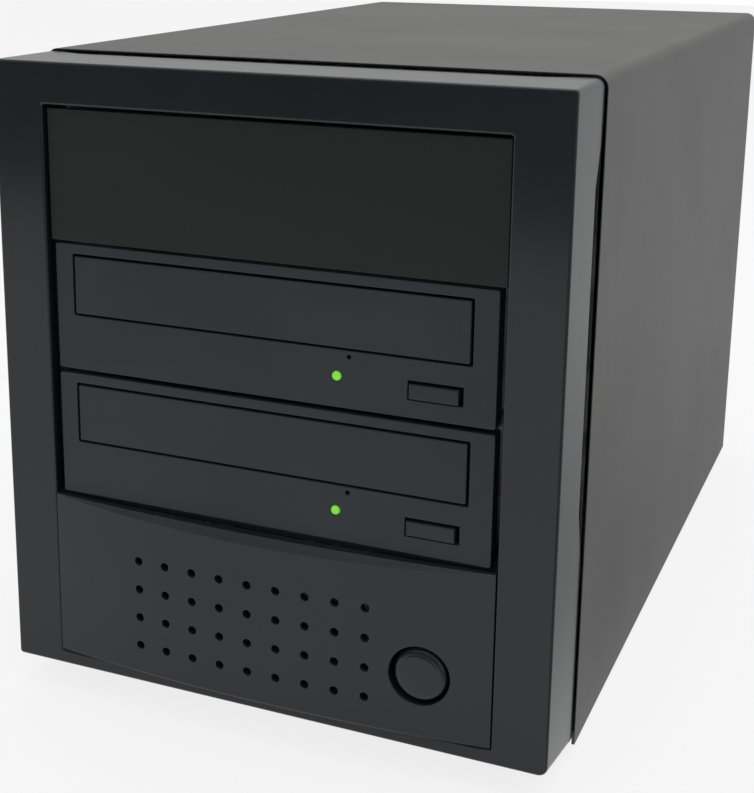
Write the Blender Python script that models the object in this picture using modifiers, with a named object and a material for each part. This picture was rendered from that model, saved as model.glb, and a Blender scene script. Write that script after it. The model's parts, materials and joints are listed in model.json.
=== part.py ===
"""Disc duplicator tower: two optical drives under a blanked bay, in a steel case with a moulded front.

Metres, +Z up. The front faces -Y, and +X is to the right seen from the front. The pieces are modelled
with y = 0 on the front face of the bezel and z = 0 on the ground. The empty named tower then carries
them all, so that the world's origin is the centre of the footprint.
"""

import math

import bmesh
import bpy
from mathutils import Matrix, Vector

# Clearances
GAP = 0.0003
RUNNING_GAP = 0.0004
PARTING_GAP = 0.0003

# Sheet metal
SHEET = 0.001
THIN_SHEET = 0.0008
BEND_RADIUS = 0.002
COVER_BEND_RADIUS = 0.004

# Feet
FOOT_HEIGHT = 0.0035
FOOT_RADIUS = 0.0075
FOOT_INSET = 0.018
FOOT_STEM_RADIUS = 0.0025
FOOT_STEM_LENGTH = 0.0035

# Front bezel, round the drive opening
SIDE_BORDER = 0.01775
TOP_BORDER = 0.0135
LOWER_RAIL = 0.005
BEZEL_DEPTH = 0.031
BEZEL_WALL = 0.0025
BEZEL_EDGE = 0.002
BEZEL_LIFT = 0.0063
BEZEL_TOP_RISE = 0.0009
TUNNEL_WALL = 0.0016
TUNNEL_DEPTH = 0.014
NOTCH_DEPTH = 0.0013
NOTCH_LENGTH = 0.138
NOTCH_TAPER = 0.010

# Lower panel with its vent holes and power button
PANEL_HEIGHT = 0.0575
PANEL_BULGE = 0.004
PANEL_WALL = 0.0024
PANEL_CHAMFER = 0.0035
PANEL_TOP_SAG = 0.0012
PANEL_BOTTOM_SAG = 0.0023
VENT_RADIUS = 0.0013
VENT_PITCH = 0.010
VENT_COLUMNS = 9
VENT_ROWS = 4
VENT_LEFT = 0.0505
VENT_BOTTOM = 0.015
BUTTON_RIGHT = 0.0405
BUTTON_HEIGHT = 0.0255
BUTTON_RADIUS = 0.0093
BUTTON_TRAVEL = 0.0025
BUTTON_LENGTH = 0.0100
BUTTON_STEM_RADIUS = 0.003
BUTTON_STEM_LENGTH = 0.005
SWITCH_SIZE = 0.013
SWITCH_EAR = 0.0052
SWITCH_EAR_PLATE = 0.0015
COLLAR_WALL = 0.0018
COLLAR_DEPTH = 0.012

# Case
CASE_PROUD = 0.00075
CASE_GAP = 0.0008
WIRING_SPACE = 0.0175
REAR_FLANGE = 0.010
BASE_FLANGE = 0.0125
BASE_SLOTS = 5
BASE_SLOT_BACK = 0.11
BASE_SLOT_PITCH = 0.012
BASE_SLOT_LENGTH = 0.060
BASE_SLOT_WIDTH = 0.004
CAGE_FLANGE = 0.014
CAGE_END_SPACE = 0.006
CAGE_SLOT_LENGTH = 0.008
CAGE_SLOT_LOW = 0.0085
CAGE_SLOT_HIGH = 0.0120
CAGE_SLOT_FRONT = 0.0194
CAGE_SLOT_BACKS = (0.0705, 0.0345)
CAGE_WINDOW_FRONT = 0.0224
CAGE_WINDOW_BACK = 0.0155
CAGE_WINDOW_LOW = 0.010
CAGE_WINDOW_TOP = 0.012
GRILLE_SLOT = 0.0055
GRILLE_RINGS = ((0.025, 4), (0.015, 6), (0.005, 8))
PSU_WINDOW_BORDER = 0.004
SCREW_HOLE_RADIUS = 0.0022

# Optical drives
DRIVE_COUNT = 2
DRIVE_BEZEL_OVERHANG = 0.0011
DRIVE_BEZEL_HEIGHT = 0.0416
DRIVE_BEZEL_PLATE = 0.0024
DRIVE_BEZEL_RIM = 0.0070
DRIVE_RECESS = 0.0015
DRIVE_LENGTH = 0.170
DRIVE_WIDTH = 0.146
DRIVE_CAN_DROP = 0.0056
DRIVE_LID_SKIRT = 0.0146
DRIVE_BOARD_LENGTH = 0.065
DRIVE_BOARD_INSET = 0.016
DRIVE_BOARD_SEAT = 0.0023
DRIVE_PLUG_SIDE = 0.006
DRIVE_PLUG_WIDTH = 0.038
DRIVE_PLUG_HEIGHT = 0.0055
DRIVE_PLUG_DEPTH = 0.012
STUD_RADIUS = 0.0022
STUD_SPACING = 0.100
STUD_BACKS = (0.058, 0.014)
LID_PRESSING_RADIUS = 0.030
DRIVE_SIDE_GAP = 0.0024
DRIVE_PITCH_GAP = 0.0016
DRIVE_BOTTOM_GAP = 0.0009
BAY_COVER_HEIGHT = 0.0428
BAY_COVER_GAP = 0.0009
BAY_COVER_TOP_GAP = 0.0006
BAY_COVER_PLATE = 0.0022
BAY_COVER_RECESS = 0.0013

# Tray and its slot in the drive's bezel
SLOT_LEFT = 0.0062
SLOT_RIGHT = 0.0074
SLOT_TOP = 0.0031
SLOT_HEIGHT = 0.0204
TRAY_FRONT_GAP = 0.0006
TRAY_FRONT_PLATE = 0.0026
TRAY_SIDE_SPACE = 0.0076
TRAY_END_SPACE = 0.010
TRAY_RAIL_HEIGHT = 0.0055
TRAY_RAIL_WIDTH = 0.004
TRAY_DECK = 0.0032
DISC_RADIUS = 0.060
DISC_RECESS = 0.0018
DISC_MARGIN = 0.0007
SMALL_DISC_RADIUS = 0.040
SMALL_DISC_RECESS = 0.0006
SPINDLE_BACK = 0.078
WINDOW_WIDTH = 0.044
WINDOW_FRONT = 0.019
WINDOW_END_SPACE = 0.0269
TONGUE_INSET = 0.004
TONGUE_PLATE = 0.0026
TONGUE_BELOW = 0.004
TONGUE_ABOVE = 0.005

# Front controls of a drive
EJECT_RIGHT = 0.0100
EJECT_BOTTOM = 0.0055
EJECT_WIDTH = 0.0172
EJECT_HEIGHT = 0.0060
EJECT_GAP = 0.0005
EJECT_DEPTH = 0.0045
LED_RADIUS = 0.0015
LED_RIGHT = 0.0500
LED_BOTTOM = 0.0098
PINHOLE_RADIUS = 0.0007
PINHOLE_RIGHT = 0.0460
PINHOLE_BOTTOM = 0.0162

# Loader and traverse of a drive
LOADER_WALL = 0.0032
LOADER_PLATE = 0.0034
LOADER_RAIL_RISE = 0.0023
LOADER_RAIL_WIDTH = 0.0128
LOADER_FRONT_SPACE = 0.002
LOADER_END_SPACE = 0.008
LOADER_FRONT_BAR = 0.006
LOADER_REAR_BAR = 0.004
LOADER_LEG = 0.012
BRIDGE_DROP = 0.006
BRIDGE_PLATE = 0.0016
BRIDGE_HALF = 0.019
BRACKET_HALF = 0.004
BRACKET_ABOVE = 0.0026
TRAVERSE_SIDE_SPACE = 0.029
TRAVERSE_PIN_SPACE = 0.0045
TRAVERSE_SHEET = 0.0012
PIVOT_END_SPACE = 0.017
PIVOT_DROP = 0.0028
PIVOT_RADIUS = 0.0016
TRAVERSE_DROP = math.radians(4.5)
ROD_RADIUS = 0.0015
ROD_INSET = 0.016
ROD_RISE = 0.0025
SLED_LENGTH = 0.020
SLED_END_SPACE = 0.009
SLED_START = 0.024
TURNTABLE_RADIUS = 0.0155
TURNTABLE_TOP = 0.0110
CONE_RADIUS = 0.0074
CONE_HEIGHT = 0.0024
MOTOR_RADIUS = 0.013
MOTOR_DEPTH = 0.0057
CLAMP_RADIUS = 0.0114
CLAMP_RIM = 0.0030
CLAMP_BELOW = 0.0026
CLAMP_ABOVE = 0.0022
BOARD_THICKNESS = 0.0016

# Controller
CONTROLLER_WALL = 0.020
CONTROLLER_FRONT_SPACE = 0.014
CONTROLLER_END_SPACE = 0.015
CONTROLLER_INSET = 0.013
CONTROLLER_POST = 0.008
CONTROLLER_SEAT = 0.004
COOLER_SIZE = 0.036
COOLER_FINS = 6
COOLER_FIN = 0.0016
COOLER_HEIGHT = 0.011

# Power supply and fans
PSU_WIDTH = 0.150
PSU_FAN_SPACE = 0.003
PSU_DEPTH = 0.140
PSU_TOP_SPACE = 0.0015
FAN_SIZE = 0.080
FAN_DEPTH = 0.025
FAN_RIM = 0.002
FAN_HOLE_INSET = 0.00425
FAN_CORNER = 0.005
FAN_MOUNT = 0.003
FAN_STRUT = 0.003
FAN_HUB = 0.0175
FAN_BLADES = 7
PSU_FAN_SIDE = 0.005
INLET_SHIFT = 0.0025
INLET_RISE = 0.024
ROCKER_RISE = 0.058
PSU_VENT_ROWS = 6
PSU_VENT_LOW = 0.015
PSU_VENT_PITCH = 0.010
PSU_VENT_HEIGHT = 0.005
PSU_VENT_SIDE = 0.015
PSU_VENT_MIDDLE = 0.005
PSU_BOARD_SIDE = 0.009
PSU_BOARD_FRONT = 0.008
PSU_BOARD_BACK = 0.032
PSU_BOARD_SEAT = 0.003
PSU_POST_SIDE = 0.017
PSU_POST_FRONT = 0.015
PSU_POST_BACK = 0.040
SINK_SIDE = 0.025
SINK_PLATE = 0.004
SINK_FRONT = 0.020
SINK_BACK = 0.050
SINK_HEIGHT = 0.050
INLET_FLANGE = (0.0304, 0.0236, 0.0020)
INLET_DEPTH = 0.020
INLET_CUTOUT = (0.0138, 0.0102)
ROCKER_CUTOUT = (0.0098, 0.0068)
ROCKER_FLANGE = (0.0224, 0.0164, 0.0016)
ROCKER_DEPTH = 0.014
ROCKER_WALL = 0.0013
ROCKER_WIDTH = 0.0094
ROCKER_BELLY = 0.0048
ROCKER_END = (0.0074, 0.0014)
CASE_FAN_HEIGHT = 0.062
ROCKER_THROW = math.radians(20)
ROCKER_SINK = 0.0022
ROCKER_TIP = (0.0070, 0.0046)
GUARD_WIRE = 0.0008
GUARD_RINGS = (0.014, 0.026)
GUARD_RIM = 0.002

# Sizes that follow from those above
DRIVE_BEZEL_WIDTH = DRIVE_WIDTH + 2 * DRIVE_BEZEL_OVERHANG
OPENING_WIDTH = DRIVE_BEZEL_WIDTH + 2 * DRIVE_SIDE_GAP
BEZEL_WIDTH = OPENING_WIDTH + 2 * SIDE_BORDER
CASE_WIDTH = BEZEL_WIDTH + 2 * CASE_PROUD
CASE_BOTTOM = FOOT_HEIGHT
BEZEL_BOTTOM = CASE_BOTTOM + BEZEL_LIFT
PANEL_BOTTOM = BEZEL_BOTTOM + LOWER_RAIL
OPENING_BOTTOM = PANEL_BOTTOM + PANEL_HEIGHT
DRIVE_BOTTOMS = [
    OPENING_BOTTOM + DRIVE_BOTTOM_GAP + row * (DRIVE_BEZEL_HEIGHT + DRIVE_PITCH_GAP)
    for row in reversed(range(DRIVE_COUNT))
]
BAY_COVER_BOTTOM = DRIVE_BOTTOMS[0] + DRIVE_BEZEL_HEIGHT + BAY_COVER_GAP
OPENING_TOP = BAY_COVER_BOTTOM + BAY_COVER_HEIGHT + BAY_COVER_TOP_GAP
BEZEL_TOP = OPENING_TOP + TOP_BORDER
CASE_TOP = BEZEL_TOP + BEZEL_TOP_RISE
PLATE_FRONT = BEZEL_DEPTH + GAP
PLATE_BACK = PLATE_FRONT + SHEET
COVER_FRONT = BEZEL_DEPTH + CASE_GAP
FLOOR_TOP = CASE_BOTTOM + SHEET
INNER_WIDTH = CASE_WIDTH - 2 * SHEET
CHASSIS_WIDTH = INNER_WIDTH - 2 * GAP
PSU_FRONT = DRIVE_RECESS + DRIVE_LENGTH + WIRING_SPACE
PSU_BACK = PSU_FRONT + PSU_DEPTH
PANEL_BACK_FRONT = PSU_BACK + GAP
PANEL_BACK_REAR = PANEL_BACK_FRONT + SHEET
COVER_BACK = PANEL_BACK_REAR + GAP + SHEET
PSU_TOP = CASE_TOP - SHEET - PSU_TOP_SPACE
PSU_BOTTOM = PSU_TOP - FAN_SIZE - 2 * PSU_FAN_SPACE
FAN_BORE = FAN_SIZE / 2 - FAN_RIM
FAN_HOLE_AT = FAN_SIZE / 2 - FAN_HOLE_INSET
TRAY_WIDTH = DRIVE_WIDTH - 2 * TRAY_SIDE_SPACE
TRAY_LENGTH = DRIVE_LENGTH - TRAY_END_SPACE
LOADER_RAIL_TOP = DRIVE_BEZEL_HEIGHT - SLOT_TOP - SLOT_HEIGHT + LOADER_RAIL_RISE
BRIDGE_TOP = DRIVE_BEZEL_HEIGHT - BRIDGE_DROP
BRIDGE_BOTTOM = BRIDGE_TOP - BRIDGE_PLATE
TRAVERSE_WIDTH = DRIVE_WIDTH - 2 * TRAVERSE_SIDE_SPACE
ROD_SPACING = TRAVERSE_WIDTH - 2 * ROD_INSET
PIVOT_BACK = DRIVE_LENGTH - PIVOT_END_SPACE
PIVOT_HEIGHT = LOADER_RAIL_TOP - PIVOT_DROP
SLED_TRAVEL = PIVOT_BACK - SPINDLE_BACK - SLED_START - SLED_LENGTH / 2 - SLED_END_SPACE
TRAY_X = (SLOT_LEFT - SLOT_RIGHT) / 2
ROCKER_TILT = ROCKER_THROW / 2
REAR_REACH = PSU_BACK + GAP - ROCKER_SINK
REAR_REACH += ROCKER_TIP[0] * math.sin(ROCKER_TILT) + ROCKER_TIP[1] * math.cos(ROCKER_TILT)
FRONT_REACH = -PANEL_BULGE

LOOKS = {
    "gloss_black": ((0.018, 0.021, 0.026), 0.18, 0.0),
    "matte_black": ((0.022, 0.021, 0.020), 0.65, 0.0),
    "drive_grey": ((0.028, 0.032, 0.036), 0.5, 0.0),
    "case_paint": ((0.035, 0.036, 0.036), 0.42, 0.0),
    "bare_steel": ((0.55, 0.56, 0.57), 0.35, 1.0),
    "loader_plastic": ((0.030, 0.030, 0.032), 0.55, 0.0),
    "rubber": ((0.015, 0.015, 0.015), 0.85, 0.0),
    "green_light": ((0.10, 0.80, 0.12), 0.3, 0.0),
    "board_green": ((0.02, 0.14, 0.06), 0.5, 0.0),
    "white_plastic": ((0.75, 0.75, 0.72), 0.5, 0.0),
    "polished_steel": ((0.62, 0.62, 0.63), 0.15, 1.0),
}

UPRIGHT = Matrix.Rotation(math.pi / 2, 4, "X")
TURNS = {
    "X": Matrix.Rotation(math.pi / 2, 4, "Y"),
    "Y": Matrix.Rotation(-math.pi / 2, 4, "X"),
    "Z": Matrix.Identity(4),
}


def clear_scene():
    for thing in list(bpy.data.objects):
        bpy.data.objects.remove(thing, do_unlink=True)


def new_collection(name):
    made = bpy.data.collections.new(name)
    bpy.context.scene.collection.children.link(made)
    return made


def empty(name, place, parent=None, turn=(0, 0, 0)):
    """A carrier for pieces: the frame they are modelled in, or the axis that they move on."""
    made = bpy.data.objects.new(name, None)
    made.empty_display_size = 0.01
    made.location = place
    made.rotation_euler = turn
    made.parent = parent
    PARTS.objects.link(made)
    return made


def paint(thing, look):
    """Gives the piece its own material."""
    colour, roughness, metallic = LOOKS[look]
    material = bpy.data.materials.new(thing.name)
    material.use_nodes = True
    shader = material.node_tree.nodes["Principled BSDF"]
    shader.inputs["Base Color"].default_value = (*colour, 1)
    shader.inputs["Roughness"].default_value = roughness
    shader.inputs["Metallic"].default_value = metallic
    thing.data.materials.append(material)


def piece(name, shape, look, parent):
    """A named solid made of the bmesh, modelled in its parent's frame."""
    mesh = bpy.data.meshes.new(name)
    shape.to_mesh(mesh)
    shape.free()
    thing = bpy.data.objects.new(name, mesh)
    thing.parent = parent
    PARTS.objects.link(thing)
    paint(thing, look)
    return thing


def helper(shape, parent):
    """A hidden solid that cuts or joins another."""
    mesh = bpy.data.meshes.new("helper")
    shape.to_mesh(mesh)
    shape.free()
    thing = bpy.data.objects.new("helper", mesh)
    thing.parent = parent
    thing.hide_render = True
    thing.display_type = "WIRE"
    CUTTERS.objects.link(thing)
    return thing


def combine(thing, shape, operation):
    modifier = thing.modifiers.new(operation.title(), "BOOLEAN")
    modifier.operation = operation
    modifier.object = helper(shape, thing.parent)
    modifier.solver = "EXACT"
    return modifier


def cut(thing, shape):
    combine(thing, shape, "DIFFERENCE")


def fuse(thing, shape):
    combine(thing, shape, "UNION").use_self = True


def round_edges(thing, width, segments=2, angle=40):
    modifier = thing.modifiers.new("Round edges", "BEVEL")
    modifier.width = width
    modifier.segments = segments
    modifier.limit_method = "ANGLE"
    modifier.angle_limit = math.radians(angle)


def smooth(thing, angle=35):
    thing.data.shade_smooth()
    thing.data.set_sharp_from_angle(angle=math.radians(angle))


def block(shape, x, y, z):
    """A box between the two values of each pair."""
    low, high = Vector((x[0], y[0], z[0])), Vector((x[1], y[1], z[1]))
    scale = Matrix.Diagonal((*(high - low), 1))
    bmesh.ops.create_cube(shape, size=1, matrix=Matrix.Translation((low + high) / 2) @ scale)
    return shape


def boxes(*spans):
    shape = bmesh.new()
    for x, y, z in spans:
        block(shape, x, y, z)
    return shape


def pair(inner, outer):
    """The same span on both sides of the middle."""
    return ((-outer, -inner), (inner, outer))


def rod(shape, centre, radius, length, axis, sides=16, end_radius=None):
    """A cylinder, or a cone that ends in end_radius on the axis's positive side."""
    bmesh.ops.create_cone(
        shape,
        cap_ends=True,
        segments=sides,
        radius1=radius,
        radius2=radius if end_radius is None else end_radius,
        depth=length,
        matrix=Matrix.Translation(centre) @ TURNS[axis],
    )
    return shape


def rods(*rows, axis, sides=16):
    shape = bmesh.new()
    for centre, radius, length in rows:
        rod(shape, centre, radius, length, axis, sides)
    return shape


def add_evaluated(shape, thing, matrix):
    """Adds what a helper object evaluates to, as one welded closed mesh, and removes the helper."""
    bpy.context.scene.collection.objects.link(thing)
    graph = bpy.context.evaluated_depsgraph_get()
    mesh = bpy.data.meshes.new_from_object(thing.evaluated_get(graph))
    bpy.data.objects.remove(thing)
    made = bmesh.new()
    made.from_mesh(mesh)
    bmesh.ops.remove_doubles(made, verts=made.verts, dist=0.000001)
    bmesh.ops.recalc_face_normals(made, faces=made.faces)
    made.transform(matrix)
    made.to_mesh(mesh)
    made.free()
    shape.from_mesh(mesh)
    bpy.data.meshes.remove(mesh)
    return shape


def plate(shape, outlines, thickness, matrix):
    """A flat sheet with holes, centred on its own plane: the outer outline and then the holes."""
    curve = bpy.data.curves.new("outline", "CURVE")
    curve.dimensions = "2D"
    curve.fill_mode = "BOTH"
    curve.extrude = thickness / 2
    for outline in outlines:
        spline = curve.splines.new("POLY")
        spline.points.add(len(outline) - 1)
        for point, (x, y) in zip(spline.points, outline):
            point.co = (x, y, 0, 1)
        spline.use_cyclic_u = True
    return add_evaluated(shape, bpy.data.objects.new("outline", curve), matrix)


def upright_plate(outlines, front, back):
    """A sheet that faces the front, between two depths. Its outlines are in x and z."""
    place = Matrix.Translation((0, (front + back) / 2, 0)) @ UPRIGHT
    return plate(bmesh.new(), outlines, back - front, place)


def level_plate(outlines, bottom, top):
    """A sheet that lies flat, between two heights. Its outlines are in x and y."""
    return plate(bmesh.new(), outlines, top - bottom, Matrix.Translation((0, 0, (bottom + top) / 2)))


def turned(shape, profile, place, axis, sides):
    """The solid that a profile of radius and height makes, turned about the axis."""
    mesh = bpy.data.meshes.new("profile")
    points = [(radius, 0, height) for radius, height in profile]
    mesh.from_pydata(points, [(i, i + 1) for i in range(len(points) - 1)], [])
    thing = bpy.data.objects.new("profile", mesh)
    screw = thing.modifiers.new("Turn", "SCREW")
    screw.steps = sides
    screw.render_steps = sides
    screw.use_merge_vertices = True
    screw.merge_threshold = 0.00001
    return add_evaluated(shape, thing, Matrix.Translation(place) @ TURNS[axis])


def rectangle(x, z):
    return [(x[0], z[0]), (x[1], z[0]), (x[1], z[1]), (x[0], z[1])]


def rounded_rectangle(x, z, radius, steps=3):
    corners = ((x[1], z[1], 0), (x[0], z[1], 1), (x[0], z[0], 2), (x[1], z[0], 3))
    outline = []
    for cx, cz, quarter in corners:
        centre_x = cx - math.copysign(radius, cx - (x[0] + x[1]) / 2)
        centre_z = cz - math.copysign(radius, cz - (z[0] + z[1]) / 2)
        for step in range(steps + 1):
            angle = (quarter + step / steps) * math.pi / 2
            outline.append((centre_x + radius * math.cos(angle), centre_z + radius * math.sin(angle)))
    return outline


def circle(x, z, radius, sides=16):
    angles = [2 * math.pi * step / sides for step in range(sides)]
    return [(x + radius * math.cos(angle), z + radius * math.sin(angle)) for angle in angles]


def bent(points, radius, steps=2):
    """The open line of points with its inner corners rounded."""
    line = [Vector(points[0])]
    for before, corner, after in zip(points, points[1:], points[2:]):
        corner = Vector(corner)
        start = corner + (Vector(before) - corner).normalized() * radius
        end = corner + (Vector(after) - corner).normalized() * radius
        centre = start + end - corner
        for step in range(steps + 1):
            angle = math.pi / 2 * step / steps
            line.append(centre + (start - centre) * math.cos(angle) + (end - centre) * math.sin(angle))
    line.append(Vector(points[-1]))
    return line


def folded(name, profile, along, span, thickness, outside, look, parent):
    """Sheet bent to a profile and running along an axis. outside is the way its first face looks."""
    others = [k for k in range(3) if k != "XYZ".index(along)]
    shape = bmesh.new()
    corners = []
    for point in profile:
        place = [0, 0, 0]
        place["XYZ".index(along)] = span[0]
        place[others[0]], place[others[1]] = point
        corners.append(shape.verts.new(place))
    edges = [shape.edges.new(ends) for ends in zip(corners, corners[1:])]
    made = bmesh.ops.extrude_edge_only(shape, edges=edges)["geom"]
    run = [0, 0, 0]
    run["XYZ".index(along)] = span[1] - span[0]
    moved = [item for item in made if isinstance(item, bmesh.types.BMVert)]
    bmesh.ops.translate(shape, verts=moved, vec=run)
    bmesh.ops.recalc_face_normals(shape, faces=shape.faces)
    shape.faces.ensure_lookup_table()
    shape.normal_update()
    first = min(shape.faces, key=lambda face: (face.calc_center_median() - corners[0].co).length)
    if first.normal.dot(Vector(outside)) < 0:
        bmesh.ops.reverse_faces(shape, faces=shape.faces)
    thing = piece(name, shape, look, parent)
    shell = thing.modifiers.new("Sheet", "SOLIDIFY")
    shell.thickness = thickness
    shell.offset = -1
    shell.use_even_offset = True
    return thing


def panel_half():
    return OPENING_WIDTH / 2 - PARTING_GAP


def panel_front(x):
    """Where the lower panel's bulged face stands at this distance from the middle."""
    return -PANEL_BULGE * (1 - min(1, abs(x) / panel_half()) ** 2)


def arc_points(half, steps):
    return [half * (2 * step / steps - 1) for step in range(steps + 1)]


def sagged(half, height, sag, steps=12):
    """Points from left to right along an edge that hangs down by sag in the middle."""
    return [(x, height - sag * (1 - (x / half) ** 2)) for x in arc_points(half, steps)]


def front_bezel():
    half = BEZEL_WIDTH / 2
    shape = block(bmesh.new(), (-half, half), (0, BEZEL_DEPTH), (BEZEL_BOTTOM, BEZEL_TOP))
    for corner in shape.verts:
        if corner.co.y > 0:
            corner.co.z += BEZEL_TOP_RISE if corner.co.z > BEZEL_TOP / 2 else GAP - BEZEL_LIFT
    weight = shape.edges.layers.float.new("bevel_weight_edge")
    for edge in shape.edges:
        edge[weight] = 0 if all(corner.co.y > 0 for corner in edge.verts) else 1
    bezel = piece("front_bezel", shape, "gloss_black", TOWER)
    rounding = bezel.modifiers.new("Round edges", "BEVEL")
    rounding.width = BEZEL_EDGE
    rounding.segments = 3
    rounding.limit_method = "WEIGHT"

    inside = block(
        bmesh.new(),
        (-half + BEZEL_WALL, half - BEZEL_WALL),
        (BEZEL_WALL, BEZEL_DEPTH + 0.01),
        (BEZEL_BOTTOM + BEZEL_WALL, BEZEL_TOP - BEZEL_WALL),
    )
    for corner in inside.verts:
        if corner.co.y > BEZEL_WALL and corner.co.z < BEZEL_TOP / 2:
            corner.co.z -= BEZEL_LIFT * (BEZEL_DEPTH + 0.01 - BEZEL_WALL) / BEZEL_DEPTH
    cut(bezel, inside)

    tunnel = OPENING_WIDTH / 2 + TUNNEL_WALL
    fuse(
        bezel,
        boxes(
            (
                (-tunnel, tunnel),
                (BEZEL_WALL / 2, TUNNEL_DEPTH),
                (OPENING_BOTTOM - TUNNEL_WALL, OPENING_TOP + TUNNEL_WALL),
            )
        ),
    )
    opening = OPENING_WIDTH / 2
    cut(bezel, boxes(((-opening, opening), (-0.01, TUNNEL_DEPTH + 0.01), (OPENING_BOTTOM, OPENING_TOP))))
    panel_hole = sagged(opening, PANEL_BOTTOM, PANEL_BOTTOM_SAG)
    panel_hole += [(opening, OPENING_BOTTOM + GAP), (-opening, OPENING_BOTTOM + GAP)]
    cut(bezel, upright_plate([panel_hole], -0.01, BEZEL_WALL + GAP / 2))

    middle = (OPENING_TOP + OPENING_BOTTOM) / 2 - LOWER_RAIL
    notch = [
        (BEZEL_DEPTH + 0.01, middle - NOTCH_LENGTH / 2),
        (BEZEL_DEPTH, middle - NOTCH_LENGTH / 2),
        (BEZEL_DEPTH - NOTCH_DEPTH, middle - NOTCH_LENGTH / 2 + NOTCH_TAPER),
        (BEZEL_DEPTH - NOTCH_DEPTH, middle + NOTCH_LENGTH / 2 - NOTCH_TAPER),
        (BEZEL_DEPTH, middle + NOTCH_LENGTH / 2),
        (BEZEL_DEPTH + 0.01, middle + NOTCH_LENGTH / 2),
    ]
    sideways = Matrix.Rotation(math.pi / 2, 4, "Z") @ UPRIGHT
    cut(bezel, plate(bmesh.new(), [notch], BEZEL_WIDTH + 0.02, sideways))
    return bezel


def vent_centres():
    left = -BEZEL_WIDTH / 2 + VENT_LEFT
    for row in range(VENT_ROWS):
        for column in range(VENT_COLUMNS):
            yield left + column * VENT_PITCH, BEZEL_BOTTOM + VENT_BOTTOM + row * VENT_PITCH


def button_place():
    return BEZEL_WIDTH / 2 - BUTTON_RIGHT, BEZEL_BOTTOM + BUTTON_HEIGHT


def lower_panel():
    half = panel_half()
    back = BEZEL_WALL - GAP
    outline = [(x, panel_front(x)) for x in arc_points(half, 16)] + [(half, back), (-half, back)]
    bottom = PANEL_BOTTOM + PARTING_GAP
    top = OPENING_BOTTOM
    panel = piece(
        "lower_panel",
        level_plate([outline], bottom - PANEL_BOTTOM_SAG - 0.005, top + 0.005),
        "gloss_black",
        TOWER,
    )
    face = sagged(half + GAP, bottom, PANEL_BOTTOM_SAG)
    face += list(reversed(sagged(half + GAP, top, PANEL_TOP_SAG)))
    combine(panel, upright_plate([face], -0.02, 0.02), "INTERSECT")

    wedge = boxes(((-half - 0.01, half + 0.01), (-0.03, 0), (0, 0.03)))
    slope = math.atan2(PANEL_CHAMFER, PANEL_BULGE)
    wedge.transform(Matrix.Translation((0, 0, top)) @ Matrix.Rotation(slope, 4, "X"))
    cut(panel, wedge)

    pocket_half = half - PANEL_WALL
    pocket = [(x, panel_front(x) + PANEL_WALL) for x in arc_points(pocket_half, 14)]
    pocket = [point for point in pocket if point[1] < back - GAP]
    pocket += [(pocket[-1][0], back + 0.01), (pocket[0][0], back + 0.01)]
    ceiling = top - PANEL_TOP_SAG - PANEL_CHAMFER - PANEL_WALL / 2
    cut(panel, level_plate([pocket], bottom + PANEL_WALL, ceiling))

    x, z = button_place()
    bore = BUTTON_RADIUS + RUNNING_GAP
    front = panel_front(x) + PANEL_WALL / 2
    collar_middle = (front + COLLAR_DEPTH) / 2
    length = COLLAR_DEPTH - front
    fuse(panel, rods(((x, collar_middle, z), bore + COLLAR_WALL, length), axis="Y", sides=24))
    cut(panel, rods(((x, 0, z), bore, 0.06), axis="Y", sides=24))
    holes = bmesh.new()
    for vent_x, vent_z in vent_centres():
        rod(holes, (vent_x, 0, vent_z), VENT_RADIUS, 0.03, "Y", sides=8)
    cut(panel, holes)
    return panel


def power_button():
    x, z = button_place()
    edge = BUTTON_RADIUS / 6
    front = -panel_front(x)
    profile = [(0, front + edge / 3), (BUTTON_RADIUS - edge * 1.6, front + edge / 6)]
    for step in range(4):
        angle = math.pi / 2 * step / 3
        profile.append(
            (BUTTON_RADIUS - edge * (1 - math.sin(angle)), front - edge * (1 - math.cos(angle)))
        )
    profile += [
        (BUTTON_RADIUS, front - BUTTON_LENGTH),
        (BUTTON_STEM_RADIUS, front - BUTTON_LENGTH),
        (BUTTON_STEM_RADIUS, front - BUTTON_LENGTH - BUTTON_STEM_LENGTH),
        (0, front - BUTTON_LENGTH - BUTTON_STEM_LENGTH),
    ]
    carrier = empty("power_button_slide", (x, 0, z), TOWER)
    shape = turned(bmesh.new(), profile, (0, 0, 0), "Z", 24)
    shape.transform(Matrix.Rotation(math.pi / 2, 4, "X"))
    button = piece("power_button", shape, "gloss_black", carrier)
    smooth(button)
    return button


def power_switch():
    """Momentary switch on the chassis plate, with its plunger behind the button's stem."""
    x, z = button_place()
    stem_end = panel_front(x) + BUTTON_LENGTH + BUTTON_STEM_LENGTH
    tip = stem_end + BUTTON_TRAVEL + GAP
    body_half = SWITCH_SIZE / 2
    body_front = (tip + PLATE_FRONT) / 2
    switch = piece(
        "power_switch",
        boxes(
            (
                (x - body_half, x + body_half),
                (body_front, PLATE_FRONT - GAP),
                (z - body_half, z + body_half),
            )
        ),
        "loader_plastic",
        TOWER,
    )
    plunger_length = body_front - tip + 0.001
    plunger_middle = tip + plunger_length / 2
    fuse(switch, rods(((x, plunger_middle, z), BUTTON_STEM_RADIUS, plunger_length), axis="Y"))
    ears = boxes(
        (
            (x - body_half - SWITCH_EAR, x + body_half + SWITCH_EAR),
            (PLATE_FRONT - GAP - SWITCH_EAR_PLATE, PLATE_FRONT - GAP),
            (z - body_half * 0.6, z + body_half * 0.6),
        )
    )
    fuse(switch, ears)
    return switch


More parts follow.
